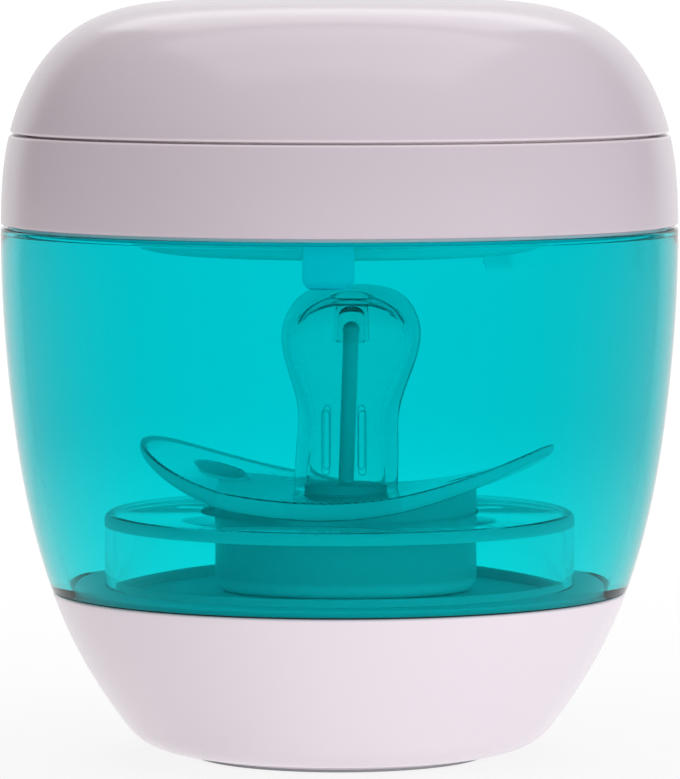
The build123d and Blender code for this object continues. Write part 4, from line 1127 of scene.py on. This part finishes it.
# %% Button
BUTTON_TOP, DISH, CAP = TOP + 0.1, 5.2, 6.4
stem, stem_low, stop, stop_low, stop_top = 1.9, 68.3, 8.0, 80.45, 81.45
dish = [(r, BUTTON_TOP - 0.35 * (1 - (r / DISH) ** 2)) for r in np.linspace(0.0, DISH, 12)[:-1]]
button = lathe("power_button_cap", (
    [(stem, stem_low, 0.2), (stem, stop_low), (stop, stop_low, 0.15), (stop, stop_top, 0.15), (5.6, stop_top),
     (5.6, TUBE_LOW), (CAP, TUBE_LOW), (CAP, BUTTON_TOP, 0.4), (DISH, BUTTON_TOP, 0.15)]
    + dish[::-1] + [(0, stem_low)]), 128)
stand_for(button, "power_button", "button", white)

# %% [markdown]
# The inner pieces that are flat, square or thin already have their final shape in the imported model: the circuit
# board, the switches, the holder and its contacts. They keep their own mesh and only get a finish. That is less
# work than modelling them again, and they stay exactly where they are.

# %% Pieces that keep their shape
for node, finish in {
        "main_board": board_green, "battery_holder": holder_white, "contact_plates": plated,
        "contact_springs": plated, "usb_socket": steel, "button_switch": black, "interlock_switch": black,
        "switch_stem": holder_white, "interlock_pin": holder_white}.items():
    paint(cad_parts[node], finish)
    print(node, "in", finish.slot)

# %% [markdown]
# The screws are small pan-head screws with a cross recess. The head and the shank are turned together, and the
# shank gets ridges for its thread. True threads climb in a spiral, but at under a millimetre the rings look the
# same. The cross is cut with two thin bricks. One screw is modelled for each length and then copied.

# %% Screws
def copy_round(piece, angles):
    """Copies of a piece about the upright axis, each a mesh of its own, joined into one."""
    copies = [piece] + [twin_of(piece) for _ in angles[1:]]
    for twin, angle in zip(copies, angles):
        twin.data.transform(Matrix.Rotation(radians(angle), 4, "Z"))
    select(*copies)
    bpy.ops.object.join()
    return piece


def screw(name, seat, tip, circle):
    """A screw whose head sits on the height `seat`; its tip may be above or below."""
    way = 1 if seat > tip else -1
    head_top, head_radius, ridge, root, pitch, cross = seat + way * 1.2, 1.9, 0.8, 0.62, 0.6, 0.22
    thread = []
    for turn in np.arange(1.0, abs(seat - tip) - 0.9, pitch):
        thread += [(root, tip + way * turn), (ridge, tip + way * (turn + pitch / 2))]
    made = lathe(name, [(0, tip), (0.35, tip)] + thread + [
        (ridge, seat), (head_radius, seat, 0.1), (head_radius, head_top, 0.5), (0, head_top)], 40)
    made.data.transform(Matrix.Translation((circle * MM, 0, 0)))
    recess = sorted((head_top - way * 0.6, head_top + way * 0.2))
    cut(made, brick((circle - 1.0, circle + 1.0), (-cross, cross), recess))
    cut(made, brick((circle - cross, circle + cross), (-1.0, 1.0), recess))
    return made


HOLDER_TOP = BOARD_TOP + 0.4 + 1.6
lid_screws = copy_round(screw("lid_screw_set", HOLDER_TOP, FLOOR_LOW + 0.9, SCREW_CIRCLE), LID_SCREW_ANGLES)
stand_for(lid_screws, "lid_screws", "lid", plated)
base_screws = copy_round(screw("base_screw_set", BASE_SCREW_SEAT, 10.9, BASE_SCREW_CIRCLE), THREE_WAYS)
stand_for(base_screws, "base_screws", "case", plated)

# %% [markdown]
# Each ultraviolet LED is a small ceramic box with a round well, a chip on the floor of the well and a clear dome
# over it. Beside the LEDs sit three tiny resistors, a black block between two bright solder ends.

# %% LEDs
LED_CIRCLE, LED_HALF, LED_LOW = 4.6, 1.75, BOARD_LOW - 1.1
led = brick((LED_CIRCLE - LED_HALF, LED_CIRCLE + LED_HALF), (-LED_HALF, LED_HALF), (LED_LOW, BOARD_LOW))
bevel(led, 0.12, 2)
led.name = "uv_led_packages"
cut(led, upright(1.26, (LED_CIRCLE, 0), LED_LOW - 1, LED_LOW + 0.7, 40))
stand_for(copy_round(led, THREE_WAYS), "uv_leds", "lid", led_ceramic)


def extra(piece, name, body, finish):
    """A small piece that the solid model leaves out."""
    piece.name = piece.data.name = name
    paint(settle(piece), finish)
    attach(piece, body)
    print(name, len(piece.data.polygons), "faces")


lens_back = LED_LOW + 0.66
bulge = [(1.2 * sin(a), lens_back - 0.62 * cos(a)) for a in np.linspace(0.0, pi / 2, 9)]
dome_lens = lathe("dome_lens", bulge + [(0, lens_back)], 40)
dome_lens.data.transform(Matrix.Translation((LED_CIRCLE * MM, 0, 0)))
extra(copy_round(dome_lens, THREE_WAYS), "uv_led_lenses", "lid", lamp_clear)

BESIDE_LEDS, SOLDERED = (30, 150, 270), BOARD_LOW - 0.02
resistor = bevel(brick((6.5, 7.3), (-0.5, 0.5), (BOARD_LOW - 0.4, SOLDERED)), 0.05, 2)
extra(copy_round(resistor, BESIDE_LEDS), "board_resistors", "lid", black)
ends, other = [brick((6.47, 7.33), y, (BOARD_LOW - 0.43, SOLDERED)) for y in ((0.48, 0.85), (-0.85, -0.48))]
add(ends, other)
extra(copy_round(bevel(ends, 0.06, 2), BESIDE_LEDS), "solder_ends", "lid", plated)

# %% [markdown]
# A dry cell is a steel can in a printed sleeve. The sleeve is folded over both ends, which leaves a rim, and the
# metal shows inside it. At the positive end a stepped cap carries the nub. The cell is turned upright, laid on
# its side and copied twice. Its faces take one of three finishes by their height on the lathe.

# %% Cells
sleeve = moulded("cell_sleeve", (0.030, 0.075, 0.130), 0.25, Metallic=0.35)
sleeve_band = moulded("cell_band", (0.50, 0.51, 0.53), 0.25, Metallic=0.6)
BACK, FRONT, NUB_END, BAND_START, CELL_RADIUS, CELL_CIRCLE = -21.05, 22.65, 23.45, 12.0, 5.25, 18.8
cell = lathe("aaa_cell", [
    (0, BACK), (3.5, BACK, 0.1), (3.7, BACK + 0.2, 0.05), (4.2, BACK + 0.2), (4.2, BACK, 0.1),
    (CELL_RADIUS, BACK, 0.45), (CELL_RADIUS, BAND_START), (CELL_RADIUS, FRONT, 0.45), (4.1, FRONT, 0.1),
    (4.1, FRONT - 0.4), (3.1, FRONT - 0.4, 0.1), (2.9, FRONT - 0.1, 0.1), (1.9, FRONT - 0.1, 0.1),
    (1.9, NUB_END, 0.35), (0, NUB_END)], 72)
paint(cell, sleeve, sleeve_band, plated)
for face in cell.data.polygons:
    if Vector(face.center[:2]).length < 4.22 * MM:
        face.material_index = 2
    elif face.center.z > BAND_START * MM:
        face.material_index = 1
on_side = Matrix.Rotation(radians(90), 4, "Y")
in_holder = Matrix.Translation((0, CELL_CIRCLE * MM, (BOARD_TOP + 1.55 + CELL_RADIUS) * MM))
for number, angle in enumerate((0, 120, 240), start=1):
    twin = twin_of(cell)
    twin.name = twin.data.name = f"dry_cell_{number}"
    twin.data.transform(Matrix.Rotation(radians(angle), 4, "Z") @ in_holder @ on_side)
    take_place(settle(twin), f"aaa_cell_{number}", "lid")
bpy.data.objects.remove(cell)
